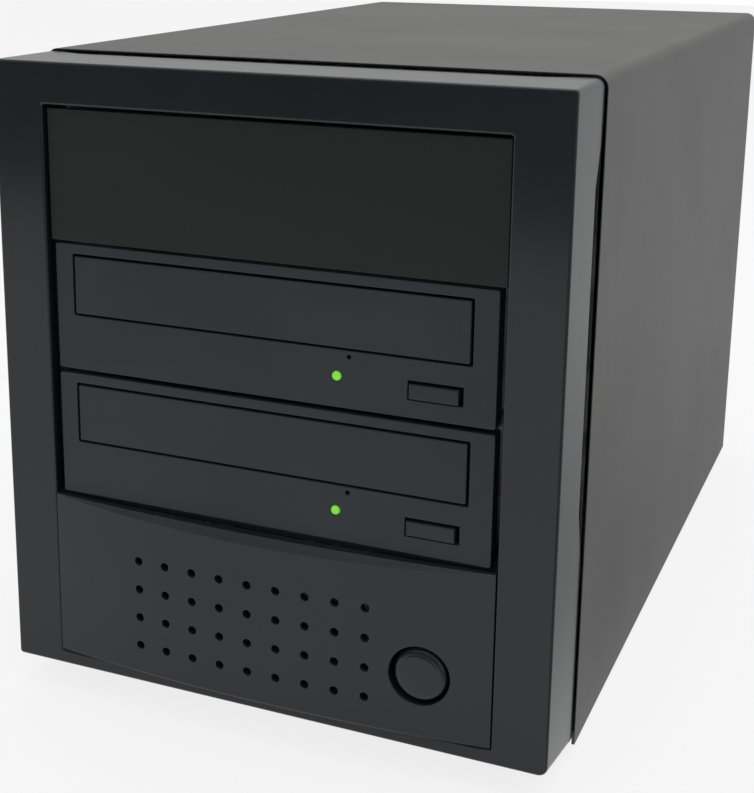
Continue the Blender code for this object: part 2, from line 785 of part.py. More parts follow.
def bay_cover():
    """Blank that fills the upper bay, with two arms that hold it between the cage walls."""
    half = OPENING_WIDTH / 2 - GAP
    front = BAY_COVER_RECESS
    back = front + BAY_COVER_PLATE
    top = BAY_COVER_BOTTOM + BAY_COVER_HEIGHT
    cover = piece(
        "bay_cover", boxes(((-half, half), (front, back), (BAY_COVER_BOTTOM, top))), "matte_black", TOWER
    )
    round_edges(cover, 0.0004)
    arm_outer = DRIVE_WIDTH / 2 - GAP
    arm = (BAY_COVER_BOTTOM + BAY_COVER_HEIGHT / 4, top - BAY_COVER_HEIGHT / 4)
    for span in pair(arm_outer - BAY_COVER_PLATE, arm_outer):
        fuse(cover, boxes((span, (back - 0.0005, PLATE_BACK + 0.012), arm)))
    return cover


def case_cover():
    half = CASE_WIDTH / 2
    profile = bent(
        [(-half, CASE_BOTTOM), (-half, CASE_TOP), (half, CASE_TOP), (half, CASE_BOTTOM)],
        COVER_BEND_RADIUS,
        steps=4,
    )
    cover = folded(
        "case_cover", profile, "Y", (COVER_FRONT, COVER_BACK), SHEET, (-1, 0, 0), "case_paint", TOWER
    )
    inset = SHEET / 4
    flange = rounded_rectangle(
        (-half + inset, half - inset), (CASE_BOTTOM + inset, CASE_TOP - inset), COVER_BEND_RADIUS
    )
    window = rectangle(
        (-half + REAR_FLANGE, half - REAR_FLANGE), (CASE_BOTTOM - 0.01, PSU_TOP - SHEET)
    )
    lip = upright_plate([flange], COVER_BACK - SHEET, COVER_BACK - inset / 4)
    rear_lip = piece("rear_lip", lip, "case_paint", TOWER)
    cut(rear_lip, upright_plate([window], COVER_BACK - 0.01, COVER_BACK + 0.01))
    bpy.context.view_layer.update()
    made = bmesh.new()
    graph = bpy.context.evaluated_depsgraph_get()
    made.from_mesh(bpy.data.meshes.new_from_object(rear_lip.evaluated_get(graph)))
    bpy.data.objects.remove(rear_lip)
    fuse(cover, made)
    smooth(cover)
    return cover


def chassis_base():
    half = CHASSIS_WIDTH / 2
    profile = bent(
        [
            (-half, CASE_BOTTOM + BASE_FLANGE),
            (-half, CASE_BOTTOM),
            (half, CASE_BOTTOM),
            (half, CASE_BOTTOM + BASE_FLANGE),
        ],
        BEND_RADIUS,
    )
    base = folded(
        "chassis_base", profile, "Y", (PLATE_BACK + GAP, PSU_BACK), SHEET, (-1, 0, 0), "bare_steel", TOWER
    )
    holes = rods(
        *[((x, y, CASE_BOTTOM), FOOT_STEM_RADIUS + GAP, 0.01) for x, y in foot_places()],
        axis="Z",
        sides=12,
    )
    reach = BASE_SLOT_LENGTH / 2
    for row in range(BASE_SLOTS):
        y = COVER_FRONT + BASE_SLOT_BACK + row * BASE_SLOT_PITCH
        block(holes, (-reach, reach), (y, y + BASE_SLOT_WIDTH), (0, 2 * CASE_BOTTOM))
    cut(base, holes)
    return base


def foot_places():
    x = CASE_WIDTH / 2 - FOOT_INSET
    return [(side * x, y) for y in (COVER_FRONT + FOOT_INSET, COVER_BACK - FOOT_INSET) for side in (-1, 1)]


def feet():
    names = ("foot_front_left", "foot_front_right", "foot_rear_left", "foot_rear_right")
    top = CASE_BOTTOM - GAP
    profile = [
        (0, top + FOOT_STEM_LENGTH),
        (FOOT_STEM_RADIUS, top + FOOT_STEM_LENGTH),
        (FOOT_STEM_RADIUS, top),
        (FOOT_RADIUS, top),
        (FOOT_RADIUS * 0.9, 0),
        (FOOT_RADIUS * 0.5, 0),
        (FOOT_RADIUS * 0.4, top / 3),
        (0, top / 3),
    ]
    for name, (x, y) in zip(names, foot_places()):
        foot = piece(name, turned(bmesh.new(), profile, (x, y, 0), "Z", 12), "rubber", TOWER)
        smooth(foot)


def chassis_front():
    half = CHASSIS_WIDTH / 2
    top = CASE_TOP - SHEET - GAP
    bottom = FLOOR_TOP + GAP
    opening = DRIVE_WIDTH / 2 + THIN_SHEET + 2 * GAP
    outer = rounded_rectangle((-half, half), (bottom, top), COVER_BEND_RADIUS)
    window = rectangle((-opening, opening), (OPENING_BOTTOM + GAP, OPENING_TOP - GAP))
    left = -BEZEL_WIDTH / 2 + VENT_LEFT
    slots = []
    for column in range(VENT_COLUMNS):
        x = left + column * VENT_PITCH
        z = BEZEL_BOTTOM + VENT_BOTTOM
        slots.append(
            rectangle(
                (x - VENT_PITCH / 4, x + VENT_PITCH / 4),
                (z - VENT_PITCH / 3, z + (VENT_ROWS - 1) * VENT_PITCH + VENT_PITCH / 3),
            )
        )
    front = piece(
        "chassis_front", upright_plate([outer, window, *slots], PLATE_FRONT, PLATE_BACK), "bare_steel", TOWER
    )
    return front


def cage_walls():
    """The two walls that the drives are fixed between, each folded out at the front and the foot."""
    inner = DRIVE_WIDTH / 2 + GAP
    back = DRIVE_RECESS + DRIVE_LENGTH - CAGE_END_SPACE
    front = PLATE_BACK + GAP
    foot = FLOOR_TOP + GAP
    for side, name in ((-1, "cage_left"), (1, "cage_right")):
        outer = side * (inner + CAGE_FLANGE)
        profile = bent([(outer, front), (side * inner, front), (side * inner, back)], BEND_RADIUS)
        span = (foot, OPENING_TOP)
        wall = folded(name, profile, "Z", span, THIN_SHEET, (0, -1, 0), "bare_steel", TOWER)
        flange = sorted((side * (inner + THIN_SHEET / 2), outer))
        start = COVER_FRONT + FOOT_INSET + 2 * FOOT_STEM_RADIUS
        fuse(wall, boxes((flange, (start, back - THIN_SHEET), (foot, foot + THIN_SHEET))))
        slots = bmesh.new()
        reach = sorted((side * (inner - 0.005), side * (inner + 0.005)))
        for bottom in (*DRIVE_BOTTOMS, BAY_COVER_BOTTOM):
            height = (bottom + CAGE_SLOT_LOW, bottom + CAGE_SLOT_HIGH)
            for y in (front + CAGE_SLOT_FRONT, *(back - space for space in CAGE_SLOT_BACKS)):
                block(slots, reach, (y, y + CAGE_SLOT_LENGTH), height)
        length = (front + CAGE_WINDOW_FRONT, back - CAGE_WINDOW_BACK)
        block(slots, reach, length, (foot + CAGE_WINDOW_LOW, OPENING_BOTTOM - CAGE_WINDOW_TOP))
        cut(wall, slots)


def slots_in_ring(radius, width, count, share):
    """Outlines of arc-shaped slots on one circle, as a stamped fan grille has."""
    outlines = []
    for index in range(count):
        start = 2 * math.pi * index / count
        end = start + 2 * math.pi / count * share
        angles = [start + (end - start) * step / 3 for step in range(4)]
        outer = [((radius + width / 2) * math.cos(a), (radius + width / 2) * math.sin(a)) for a in angles]
        inner = [((radius - width / 2) * math.cos(a), (radius - width / 2) * math.sin(a)) for a in angles]
        outlines.append(outer + inner[::-1])
    return outlines


def rear_panel():
    half = CHASSIS_WIDTH / 2 - SHEET
    outer = rounded_rectangle((-half, half), (FLOOR_TOP + GAP, CASE_TOP - SHEET - GAP), COVER_BEND_RADIUS)
    border = PSU_WINDOW_BORDER
    psu_window = rectangle(
        (-PSU_WIDTH / 2 + border, PSU_WIDTH / 2 - border), (PSU_BOTTOM + border, PSU_TOP - border)
    )
    grille = []
    for inset, count in GRILLE_RINGS:
        for outline in slots_in_ring(FAN_BORE - inset, GRILLE_SLOT, count, 0.82):
            grille.append([(x, z + CASE_FAN_HEIGHT) for x, z in outline])
    holes = [
        circle(side * FAN_HOLE_AT, CASE_FAN_HEIGHT + level * FAN_HOLE_AT, SCREW_HOLE_RADIUS, 6)
        for side in (-1, 1)
        for level in (-1, 1)
    ]
    return piece(
        "rear_panel",
        upright_plate([outer, psu_window, *grille, *holes], PANEL_BACK_FRONT, PANEL_BACK_REAR),
        "case_paint",
        TOWER,
    )


def psu_fan_centre():
    return PSU_WIDTH / 2 - FAN_SIZE / 2 - PSU_FAN_SIDE, (PSU_TOP + PSU_BOTTOM) / 2


def inlet_side():
    """Where the inlet and the rocker stand across the wall, beside the fan."""
    fan_edge = psu_fan_centre()[0] - FAN_SIZE / 2
    return (fan_edge - PSU_WIDTH / 2) / 2 + INLET_SHIFT


def psu():
    x_half = PSU_WIDTH / 2 - THIN_SHEET - GAP
    wall_top = PSU_TOP - BEND_RADIUS - GAP
    profile = bent(
        [
            (PSU_BACK, wall_top),
            (PSU_BACK, PSU_BOTTOM),
            (PSU_FRONT, PSU_BOTTOM),
            (PSU_FRONT, wall_top),
        ],
        BEND_RADIUS,
    )
    base = folded(
        "psu_base", profile, "X", (-x_half, x_half), THIN_SHEET, (0, 1, 0), "bare_steel", TOWER
    )
    fan_x, fan_z = psu_fan_centre()
    holes = rods(((fan_x, PSU_BACK, fan_z), FAN_BORE - 0.001, 0.01), axis="Y", sides=24)
    x = inlet_side()
    for height, (wide, high) in ((inlet_height(), INLET_CUTOUT), (rocker_height(), ROCKER_CUTOUT)):
        through = (PSU_BACK - 0.005, PSU_BACK + 0.005)
        block(holes, (x - wide, x + wide), through, (height - high, height + high))
    for row in range(PSU_VENT_ROWS):
        z = PSU_BOTTOM + PSU_VENT_LOW + row * PSU_VENT_PITCH
        for span in pair(PSU_VENT_MIDDLE, PSU_WIDTH / 2 - PSU_VENT_SIDE):
            block(holes, span, (PSU_FRONT - 0.005, PSU_FRONT + 0.005), (z, z + PSU_VENT_HEIGHT))
    cut(base, holes)

    half = PSU_WIDTH / 2
    profile = bent(
        [(-half, PSU_BOTTOM), (-half, PSU_TOP), (half, PSU_TOP), (half, PSU_BOTTOM)], BEND_RADIUS
    )
    folded("psu_cover", profile, "Y", (PSU_FRONT, PSU_BACK), THIN_SHEET, (-1, 0, 0), "bare_steel", TOWER)

    psu_board()


def psu_board():
    """The supply's board with its transformer, two capacitors, two heat sinks and four posts."""
    floor = PSU_BOTTOM + THIN_SHEET
    level = floor + PSU_BOARD_SEAT
    half = PSU_WIDTH / 2 - PSU_BOARD_SIDE
    length = (PSU_FRONT + PSU_BOARD_FRONT, PSU_BACK - PSU_BOARD_BACK)
    board = piece(
        "psu_board", boxes(((-half, half), length, (level, level + BOARD_THICKNESS))), "board_green", TOWER
    )
    y = PSU_FRONT
    start = level + BOARD_THICKNESS / 2
    blocks = boxes(((-0.010, 0.025), (y + 0.040, y + 0.070), (start, start + 0.030)))
    sink = PSU_WIDTH / 2 - SINK_SIDE
    for span in pair(sink - SINK_PLATE, sink):
        block(blocks, span, (y + SINK_FRONT, PSU_BACK - SINK_BACK), (start, floor + SINK_HEIGHT))
    for x in (-0.030, -0.008):
        rod(blocks, (x, PSU_BACK - SINK_BACK - 0.002, floor + 0.021), 0.009, 0.034, "Z", 12)
    for x in (PSU_POST_SIDE - PSU_WIDTH / 2, PSU_WIDTH / 2 - PSU_POST_SIDE):
        for along in (PSU_FRONT + PSU_POST_FRONT, PSU_BACK - PSU_POST_BACK):
            post = level + BOARD_THICKNESS / 2 - floor - GAP
            rod(blocks, (x, along, floor + GAP + post / 2), 0.003, post, "Z", 8)
    fuse(board, blocks)


def inlet_height():
    return PSU_BOTTOM + INLET_RISE


def rocker_height():
    return PSU_BOTTOM + ROCKER_RISE


def power_inlet():
    """Three-pin appliance inlet: flange outside the wall, socket body through it and pins inside."""
    z = inlet_height()
    x = inlet_side()
    back = PSU_BACK + GAP
    depth = INLET_DEPTH
    width, height, plate_depth = INLET_FLANGE
    flange = rounded_rectangle((x - width / 2, x + width / 2), (z - height / 2, z + height / 2), 0.002)
    inlet = piece("power_inlet", upright_plate([flange], back, back + plate_depth), "matte_black", TOWER)
    body = [
        (x - 0.0134, z - 0.0098),
        (x + 0.0134, z - 0.0098),
        (x + 0.0134, z + 0.0050),
        (x + 0.0086, z + 0.0098),
        (x - 0.0086, z + 0.0098),
        (x - 0.0134, z + 0.0050),
    ]
    fuse(inlet, upright_plate([body], back - depth, back + 0.001))
    socket = [
        (x - 0.0120, z - 0.0082),
        (x + 0.0120, z - 0.0082),
        (x + 0.0120, z + 0.0042),
        (x + 0.0080, z + 0.0082),
        (x - 0.0080, z + 0.0082),
        (x - 0.0120, z + 0.0042),
    ]
    cut(inlet, upright_plate([socket], back - depth + 0.003, back + 0.01))
    pins = bmesh.new()
    for pin_x, pin_z in ((-0.007, -0.002), (0.007, -0.002), (0, 0.003)):
        block(
            pins,
            (x + pin_x - 0.001, x + pin_x + 0.001),
            (back - depth + 0.002, back - 0.0015),
            (z + pin_z - 0.002, z + pin_z + 0.002),
        )
    fuse(inlet, pins)
    return inlet


def rocker():
    """Mains rocker: a frame snapped into the wall and a tilting cap on an axle."""
    z = rocker_height()
    x = inlet_side()
    back = PSU_BACK + GAP
    width, height, plate_depth = ROCKER_FLANGE
    flange = rounded_rectangle((x - width / 2, x + width / 2), (z - height / 2, z + height / 2), 0.001)
    housing = piece(
        "rocker_housing", upright_plate([flange], back, back + plate_depth), "matte_black", TOWER
    )
    wide, high = ROCKER_CUTOUT[0] - GAP, ROCKER_CUTOUT[1] - RUNNING_GAP
    depth = (back - ROCKER_DEPTH, back + plate_depth / 2)
    fuse(housing, boxes(((x - wide, x + wide), depth, (z - high, z + high))))
    wide, high = wide - ROCKER_WALL, high - ROCKER_WALL + 0.0001
    depth = (back - ROCKER_DEPTH + 0.003, back + 0.01)
    cut(housing, boxes(((x - wide, x + wide), depth, (z - high, z + high))))
    carrier = empty("rocker_axis", (x, back - ROCKER_SINK, z), TOWER, (0, 0, -ROCKER_TILT))
    belly = [
        (ROCKER_BELLY * math.cos(angle), -ROCKER_BELLY * math.sin(angle))
        for angle in [math.pi * step / 8 for step in range(9)]
    ]
    tip_x, tip_y = ROCKER_TIP
    end_x, end_y = ROCKER_END
    outline = [(end_x, end_y), (tip_x, tip_y), (0, 0.0030), (-tip_x, tip_y), (-end_x, end_y)]
    outline += [(u, v) for u, v in reversed(belly)]
    cap = piece(
        "rocker_switch",
        plate(bmesh.new(), [outline], ROCKER_WIDTH, Matrix.Identity(4)),
        "matte_black",
        carrier,
    )
    return cap


def fan_frame(name, parent):
    """Square fan housing with closed corners, a round duct and a motor mount on four arms."""
    half = FAN_SIZE / 2
    square = rounded_rectangle((-half, half), (-half, half), FAN_CORNER, 2)
    holes = [
        circle(across * FAN_HOLE_AT, up * FAN_HOLE_AT, SCREW_HOLE_RADIUS, 6)
        for across in (-1, 1)
        for up in (-1, 1)
    ]
    bore = circle(0, 0, FAN_BORE, 20)
    frame = piece(name, upright_plate([square, bore, *holes], -FAN_DEPTH, 0), "loader_plastic", parent)
    mount = rods(((0, -FAN_MOUNT / 2, 0), FAN_HUB, FAN_MOUNT), axis="Y", sides=16)
    for arm in range(4):
        across = (-FAN_STRUT / 2, FAN_STRUT / 2)
        strut = boxes(((FAN_HUB - 0.001, FAN_BORE + 0.001), (-FAN_MOUNT, 0), across))
        strut.transform(Matrix.Rotation(math.pi / 2 * arm + math.pi / 4, 4, "Y"))
        strut.transform(Matrix.Translation((0, -0.0001, 0)))
        mesh = bpy.data.meshes.new("strut")
        strut.to_mesh(mesh)
        strut.free()
        mount.from_mesh(mesh)
        bpy.data.meshes.remove(mesh)
    fuse(frame, mount)
    return frame


def fan_blade():
    """One pitched blade: a strip that leans more at the hub than at the tip, with real thickness."""
    shape = bmesh.new()
    rows, columns = 3, 2
    inner, outer = FAN_HUB - 0.001, FAN_BORE - 0.0015
    grid = []
    for row in range(rows + 1):
        share = row / rows
        radius = inner + (outer - inner) * share
        pitch = math.radians(52 - 22 * share)
        chord = 0.019 + 0.008 * share
        line = []
        for column in range(columns + 1):
            along = chord * (column / columns - 0.5)
            camber = 0.0022 * (1 - (2 * column / columns - 1) ** 2)
            turn = (along * math.cos(pitch) + 0.004 * share) / radius
            depth = along * math.sin(pitch) + camber
            line.append(shape.verts.new((radius * math.sin(turn), depth, radius * math.cos(turn))))
        grid.append(line)
    for low, high in zip(grid, grid[1:]):
        for k in range(columns):
            shape.faces.new((low[k], low[k + 1], high[k + 1], high[k]))
    bmesh.ops.recalc_face_normals(shape, faces=shape.faces)
    bmesh.ops.solidify(shape, geom=shape.faces, thickness=0.0011)
    bmesh.ops.recalc_face_normals(shape, faces=shape.faces)
    return shape


def rotor_depth():
    return FAN_DEPTH - FAN_MOUNT - 0.0025


def fan_rotor(name, carrier):
    """Hub cup with its blades, turning about Y in the frame."""
    depth = rotor_depth()
    profile = [
        (0, depth / 2),
        (FAN_HUB - 0.0015, depth / 2),
        (FAN_HUB, depth / 2 - 0.0015),
        (FAN_HUB, -depth / 2),
        (0, -depth / 2),
    ]
    rotor = piece(name, turned(bmesh.new(), profile, (0, 0, 0), "Y", 16), "loader_plastic", carrier)
    for index in range(FAN_BLADES):
        blade = fan_blade()
        blade.transform(Matrix.Rotation(2 * math.pi * index / FAN_BLADES, 4, "Y"))
        fuse(rotor, blade)
    return rotor


def fans():
    x, z = psu_fan_centre()
    back = PSU_BACK - THIN_SHEET - GAP
    psu_place = empty("psu_fan_place", (x, back, z), TOWER)
    case_place = empty("case_fan_place", (0, PANEL_BACK_FRONT - GAP, CASE_FAN_HEIGHT), TOWER)
    for name, place in (("psu_fan", psu_place), ("case_fan", case_place)):
        fan_frame(name + "_frame", place)
        middle = -FAN_MOUNT - GAP - rotor_depth() / 2
        fan_rotor(name + "_rotor", empty(name + "_axis", (0, middle, 0), place))


def guard_points(radius, turns):
    return [
        (radius * math.cos(2 * math.pi * step / turns), 0, radius * math.sin(2 * math.pi * step / turns))
        for step in range(turns)
    ]


def wire(shape, points, cyclic, matrix):
    curve = bpy.data.curves.new("wire", "CURVE")
    curve.dimensions = "3D"
    curve.bevel_depth = GUARD_WIRE
    curve.bevel_resolution = 1
    curve.use_fill_caps = not cyclic
    spline = curve.splines.new("POLY")
    spline.points.add(len(points) - 1)
    for point, place in zip(spline.points, points):
        point.co = (*place, 1)
    spline.use_cyclic_u = cyclic
    return add_evaluated(shape, bpy.data.objects.new("wire", curve), matrix)


def psu_fan_guard():
    """Wire guard: rings on two cross wires whose ends lie at the fan's screw holes."""
    x, z = psu_fan_centre()
    place = Matrix.Translation((x, PSU_BACK + GAP + GUARD_WIRE, z))
    ring_place = Matrix.Translation((x, PSU_BACK + GAP + 2.4 * GUARD_WIRE, z))
    rings = bmesh.new()
    wire(rings, guard_points(FAN_BORE - GUARD_RIM, 20), True, ring_place)
    guard = piece("psu_fan_guard", rings, "bare_steel", TOWER)
    for inset in GUARD_RINGS:
        fuse(guard, wire(bmesh.new(), guard_points(FAN_BORE - inset, 14), True, ring_place))
    for side in (-1, 1):
        reach = side * FAN_HOLE_AT
        line = [(-reach, 0, -FAN_HOLE_AT), (0, 0, 0), (reach, 0, FAN_HOLE_AT)]
        fuse(guard, wire(bmesh.new(), line, False, place))
    return guard


def controller():
    """Copy controller in the upper bay: a folded tray with the board, its sockets and a finned cooler."""
    half = DRIVE_WIDTH / 2
    bottom = BAY_COVER_BOTTOM
    front = PLATE_BACK + CONTROLLER_FRONT_SPACE
    back = DRIVE_RECESS + DRIVE_LENGTH - CONTROLLER_END_SPACE
    wall = bottom + CONTROLLER_WALL
    profile = bent([(-half, wall), (-half, bottom), (half, bottom), (half, wall)], BEND_RADIUS)
    length = (front, back)
    folded("controller_bracket", profile, "Y", length, THIN_SHEET, (-1, 0, 0), "bare_steel", TOWER)
    floor = bottom + THIN_SHEET
    level = floor + CONTROLLER_SEAT
    edge = half - CONTROLLER_INSET
    board = piece(
        "controller_board",
        boxes(((-edge, edge), (front + 0.012, back - 0.006), (level, level + BOARD_THICKNESS))),
        "board_green",
        TOWER,
    )
    parts = bmesh.new()
    post = level - floor - GAP + 0.0004
    for x in (CONTROLLER_POST - edge, edge - CONTROLLER_POST):
        for y in (front + 0.020, back - 0.014):
            rod(parts, (x, y, floor + GAP + post / 2), 0.003, post, "Z", 8)
    top = level + BOARD_THICKNESS - 0.0004
    middle = (front + back) / 2
    cooler = COOLER_SIZE / 2
    block(parts, (-cooler, cooler), (middle - cooler, middle + cooler), (top, top + 0.003))
    for fin in range(COOLER_FINS):
        x = -cooler + 0.002 + fin * COOLER_SIZE / COOLER_FINS
        length = (middle - cooler + 0.001, middle + cooler - 0.001)
        block(parts, (x, x + COOLER_FIN), length, (top + 0.002, top + COOLER_HEIGHT))
    for x in (0.015 - edge, 0.035 - edge, edge - 0.030):
        block(parts, (x - 0.008, x + 0.008), (back - 0.018, back - 0.0065), (top, top + 0.0065))
    block(parts, (edge - 0.030, edge - 0.010), (front + 0.014, front + 0.025), (top, top + 0.009))
    fuse(board, parts)


def drive_shell(number, frame):
    """The drive's pressed bottom can and the lid that wraps over it."""
    front = DRIVE_BEZEL_RIM + GAP
    side = DRIVE_WIDTH / 2 - THIN_SHEET - GAP
    bottom = GAP
    edge = DRIVE_BEZEL_HEIGHT - DRIVE_CAN_DROP
    length = (front, DRIVE_LENGTH)
    outside = (-1, 0, 0)
    profile = bent([(-side, edge), (-side, bottom), (side, bottom), (side, edge)], BEND_RADIUS)
    can = folded(f"drive_{number}_chassis", profile, "Y", length, THIN_SHEET, outside, "bare_steel", frame)
    width = shrunk((-side, side), 0.0002)
    rear = (DRIVE_LENGTH - THIN_SHEET, DRIVE_LENGTH - 0.0001)
    fuse(can, boxes((width, rear, (bottom + 0.0002, edge - 0.0001))))
    studs = bmesh.new()
    for x in (-STUD_SPACING / 2, STUD_SPACING / 2):
        for space in STUD_BACKS:
            rod(studs, (x, DRIVE_LENGTH - space, bottom + 0.0013), STUD_RADIUS, 0.0020, "Z", 8)
    fuse(can, studs)
    plug_left, plug_right = plug_span()
    plug = boxes(
        (
            (plug_left - 0.001, plug_right + 0.001),
            (DRIVE_LENGTH - 0.005, DRIVE_LENGTH + 0.005),
            (board_top(), board_top() + DRIVE_PLUG_HEIGHT + 0.001),
        )
    )
    cut(can, plug)

    top = DRIVE_BEZEL_HEIGHT - GAP
    skirt = DRIVE_BEZEL_HEIGHT - DRIVE_LID_SKIRT
    half = DRIVE_WIDTH / 2
    profile = bent([(-half, skirt), (-half, top), (half, top), (half, skirt)], BEND_RADIUS)
    lid = folded(f"drive_{number}_cover", profile, "Y", length, THIN_SHEET, outside, "bare_steel", frame)
    press = rods(((0, SPINDLE_BACK, top), LID_PRESSING_RADIUS, THIN_SHEET), axis="Z", sides=24)
    cut(lid, press)


def board_top():
    return 2 * GAP + DRIVE_BOARD_SEAT + BOARD_THICKNESS


def plug_span():
    left = DRIVE_BOARD_INSET + DRIVE_PLUG_SIDE - DRIVE_WIDTH / 2
    return left, left + DRIVE_PLUG_WIDTH


def drive_board(number, frame):
    level = board_top() - BOARD_THICKNESS
    edge = DRIVE_WIDTH / 2 - DRIVE_BOARD_INSET
    front, back = DRIVE_LENGTH - DRIVE_BOARD_LENGTH, DRIVE_LENGTH - THIN_SHEET - GAP
    board = piece(
        f"drive_{number}_board",
        boxes(((-edge, edge), (front, back), (level, board_top()))),
        "board_green",
        frame,
    )
    start = level + 0.001
    plug_length = (DRIVE_LENGTH - DRIVE_PLUG_DEPTH, back - 0.0001)
    parts = boxes(
        (plug_span(), plug_length, (start, board_top() + DRIVE_PLUG_HEIGHT)),
        ((0.010, 0.026), (front + 0.013, front + 0.029), (start, board_top() + 0.0015)),
        ((-0.030, -0.020), (front + 0.017, front + 0.027), (start, board_top() + 0.0012)),
    )
    fuse(board, parts)


def slot_span():
    half = DRIVE_BEZEL_WIDTH / 2
    top = DRIVE_BEZEL_HEIGHT - SLOT_TOP
    return (-half + SLOT_LEFT, half - SLOT_RIGHT), (top - SLOT_HEIGHT, top)


def eject_span():
    right = DRIVE_BEZEL_WIDTH / 2 - EJECT_RIGHT
    return (right - EJECT_WIDTH, right), (EJECT_BOTTOM, EJECT_BOTTOM + EJECT_HEIGHT)


def shrunk(span, margin):
    return span[0] + margin, span[1] - margin


def drive_bezel(number, frame):
    half = DRIVE_BEZEL_WIDTH / 2
    outer = rounded_rectangle((-half, half), (0, DRIVE_BEZEL_HEIGHT), 0.0008, 2)
    holes = [
        rectangle(*slot_span()),
        rectangle(*eject_span()),
        circle(half - LED_RIGHT, LED_BOTTOM, LED_RADIUS + GAP, 12),
        circle(half - PINHOLE_RIGHT, PINHOLE_BOTTOM, PINHOLE_RADIUS, 8),
    ]
    bezel = piece(
        f"drive_{number}_bezel", upright_plate([outer, *holes], 0, DRIVE_BEZEL_PLATE), "drive_grey", frame
    )
    rim_outer = rectangle(shrunk((-half, half), 0.0004), shrunk((0, DRIVE_BEZEL_HEIGHT), 0.0004))
    rim_inner = rectangle(shrunk((-half, half), 0.0020), shrunk((0, DRIVE_BEZEL_HEIGHT), 0.0020))
    fuse(bezel, upright_plate([rim_outer, rim_inner], DRIVE_BEZEL_PLATE / 2, DRIVE_BEZEL_RIM))
    return bezel


def drive_controls(number, frame):
    """The tray's front, the eject button and the light of one drive."""
    half = DRIVE_BEZEL_WIDTH / 2
    x, z = slot_span()
    front = piece(
        f"drive_{number}_tray_front",
        boxes((shrunk(x, TRAY_FRONT_GAP), (0, TRAY_FRONT_PLATE), shrunk(z, TRAY_FRONT_GAP))),
        "drive_grey",
        TRAYS[number],
    )
    round_edges(front, 0.0004)

    x, z = eject_span()
    centre = ((x[0] + x[1]) / 2, 0, (z[0] + z[1]) / 2)
    carrier = empty(f"drive_{number}_eject_slide", centre, frame)
    wide = shrunk((x[0] - centre[0], x[1] - centre[0]), EJECT_GAP)
    high = shrunk((z[0] - centre[2], z[1] - centre[2]), EJECT_GAP)
    button = piece(
        f"drive_{number}_eject_button",
        boxes((wide, (0.0002, EJECT_DEPTH), high)),
        "drive_grey",
        carrier,
    )
    round_edges(button, 0.0004)

    depth = DRIVE_BEZEL_PLATE + 0.0016
    profile = [
        (0, depth / 2),
        (LED_RADIUS * 0.6, depth / 2),
        (LED_RADIUS, depth / 2 - LED_RADIUS * 0.3),
        (LED_RADIUS, -depth / 2),
        (0, -depth / 2),
    ]
    shape = turned(bmesh.new(), profile, (0, 0, 0), "Z", 12)
    shape.transform(Matrix.Translation((half - LED_RIGHT, depth / 2 + 0.0001, LED_BOTTOM)) @ UPRIGHT)
    smooth(piece(f"drive_{number}_led", shape, "green_light", frame))


def deck_span():
    bottom = LOADER_RAIL_TOP + GAP + TRAY_RAIL_HEIGHT
    return bottom, bottom + TRAY_DECK


def tray(number):
    """The loading tray: runners under a deck with the disc's stepped recess and the traverse's window."""
    half = TRAY_WIDTH / 2
    front = TRAY_FRONT_PLATE + GAP
    bottom, top = deck_span()
    made = piece(
        f"drive_{number}_tray",
        boxes(((TRAY_X - half, TRAY_X + half), (front, front + TRAY_LENGTH), (bottom, top))),
        "loader_plastic",
        TRAYS[number],
    )
    rail = LOADER_RAIL_TOP + GAP
    length = shrunk((front, front + TRAY_LENGTH), 0.0001)
    for low, high in pair(half - TRAY_RAIL_WIDTH, half - 0.0001):
        fuse(made, boxes(((TRAY_X + low, TRAY_X + high), length, (rail, bottom + 0.001))))
    floor = top - DISC_RECESS
    profile = [
        (0, top + 0.005),
        (DISC_RADIUS + DISC_MARGIN, top + 0.005),
        (DISC_RADIUS + DISC_MARGIN, floor),
        (SMALL_DISC_RADIUS + DISC_MARGIN, floor),
        (SMALL_DISC_RADIUS + DISC_MARGIN, floor - SMALL_DISC_RECESS),
        (0, floor - SMALL_DISC_RECESS),
    ]
    cut(made, turned(bmesh.new(), profile, (TRAY_X, SPINDLE_BACK, 0), "Z", 40))
    window = rounded_rectangle(
        (TRAY_X - WINDOW_WIDTH / 2, TRAY_X + WINDOW_WIDTH / 2),
        (SPINDLE_BACK - WINDOW_FRONT, front + TRAY_LENGTH - WINDOW_END_SPACE),
        WINDOW_FRONT,
        steps=5,
    )
    cut(made, level_plate([window], bottom - 0.01, top + 0.01))
    tongue = boxes(
        (
            shrunk((TRAY_X - half, TRAY_X + half), TONGUE_INSET),
            (front + 0.0001, front + TONGUE_PLATE),
            (bottom - TONGUE_BELOW, top + TONGUE_ABOVE),
        )
    )
    fuse(made, tongue)


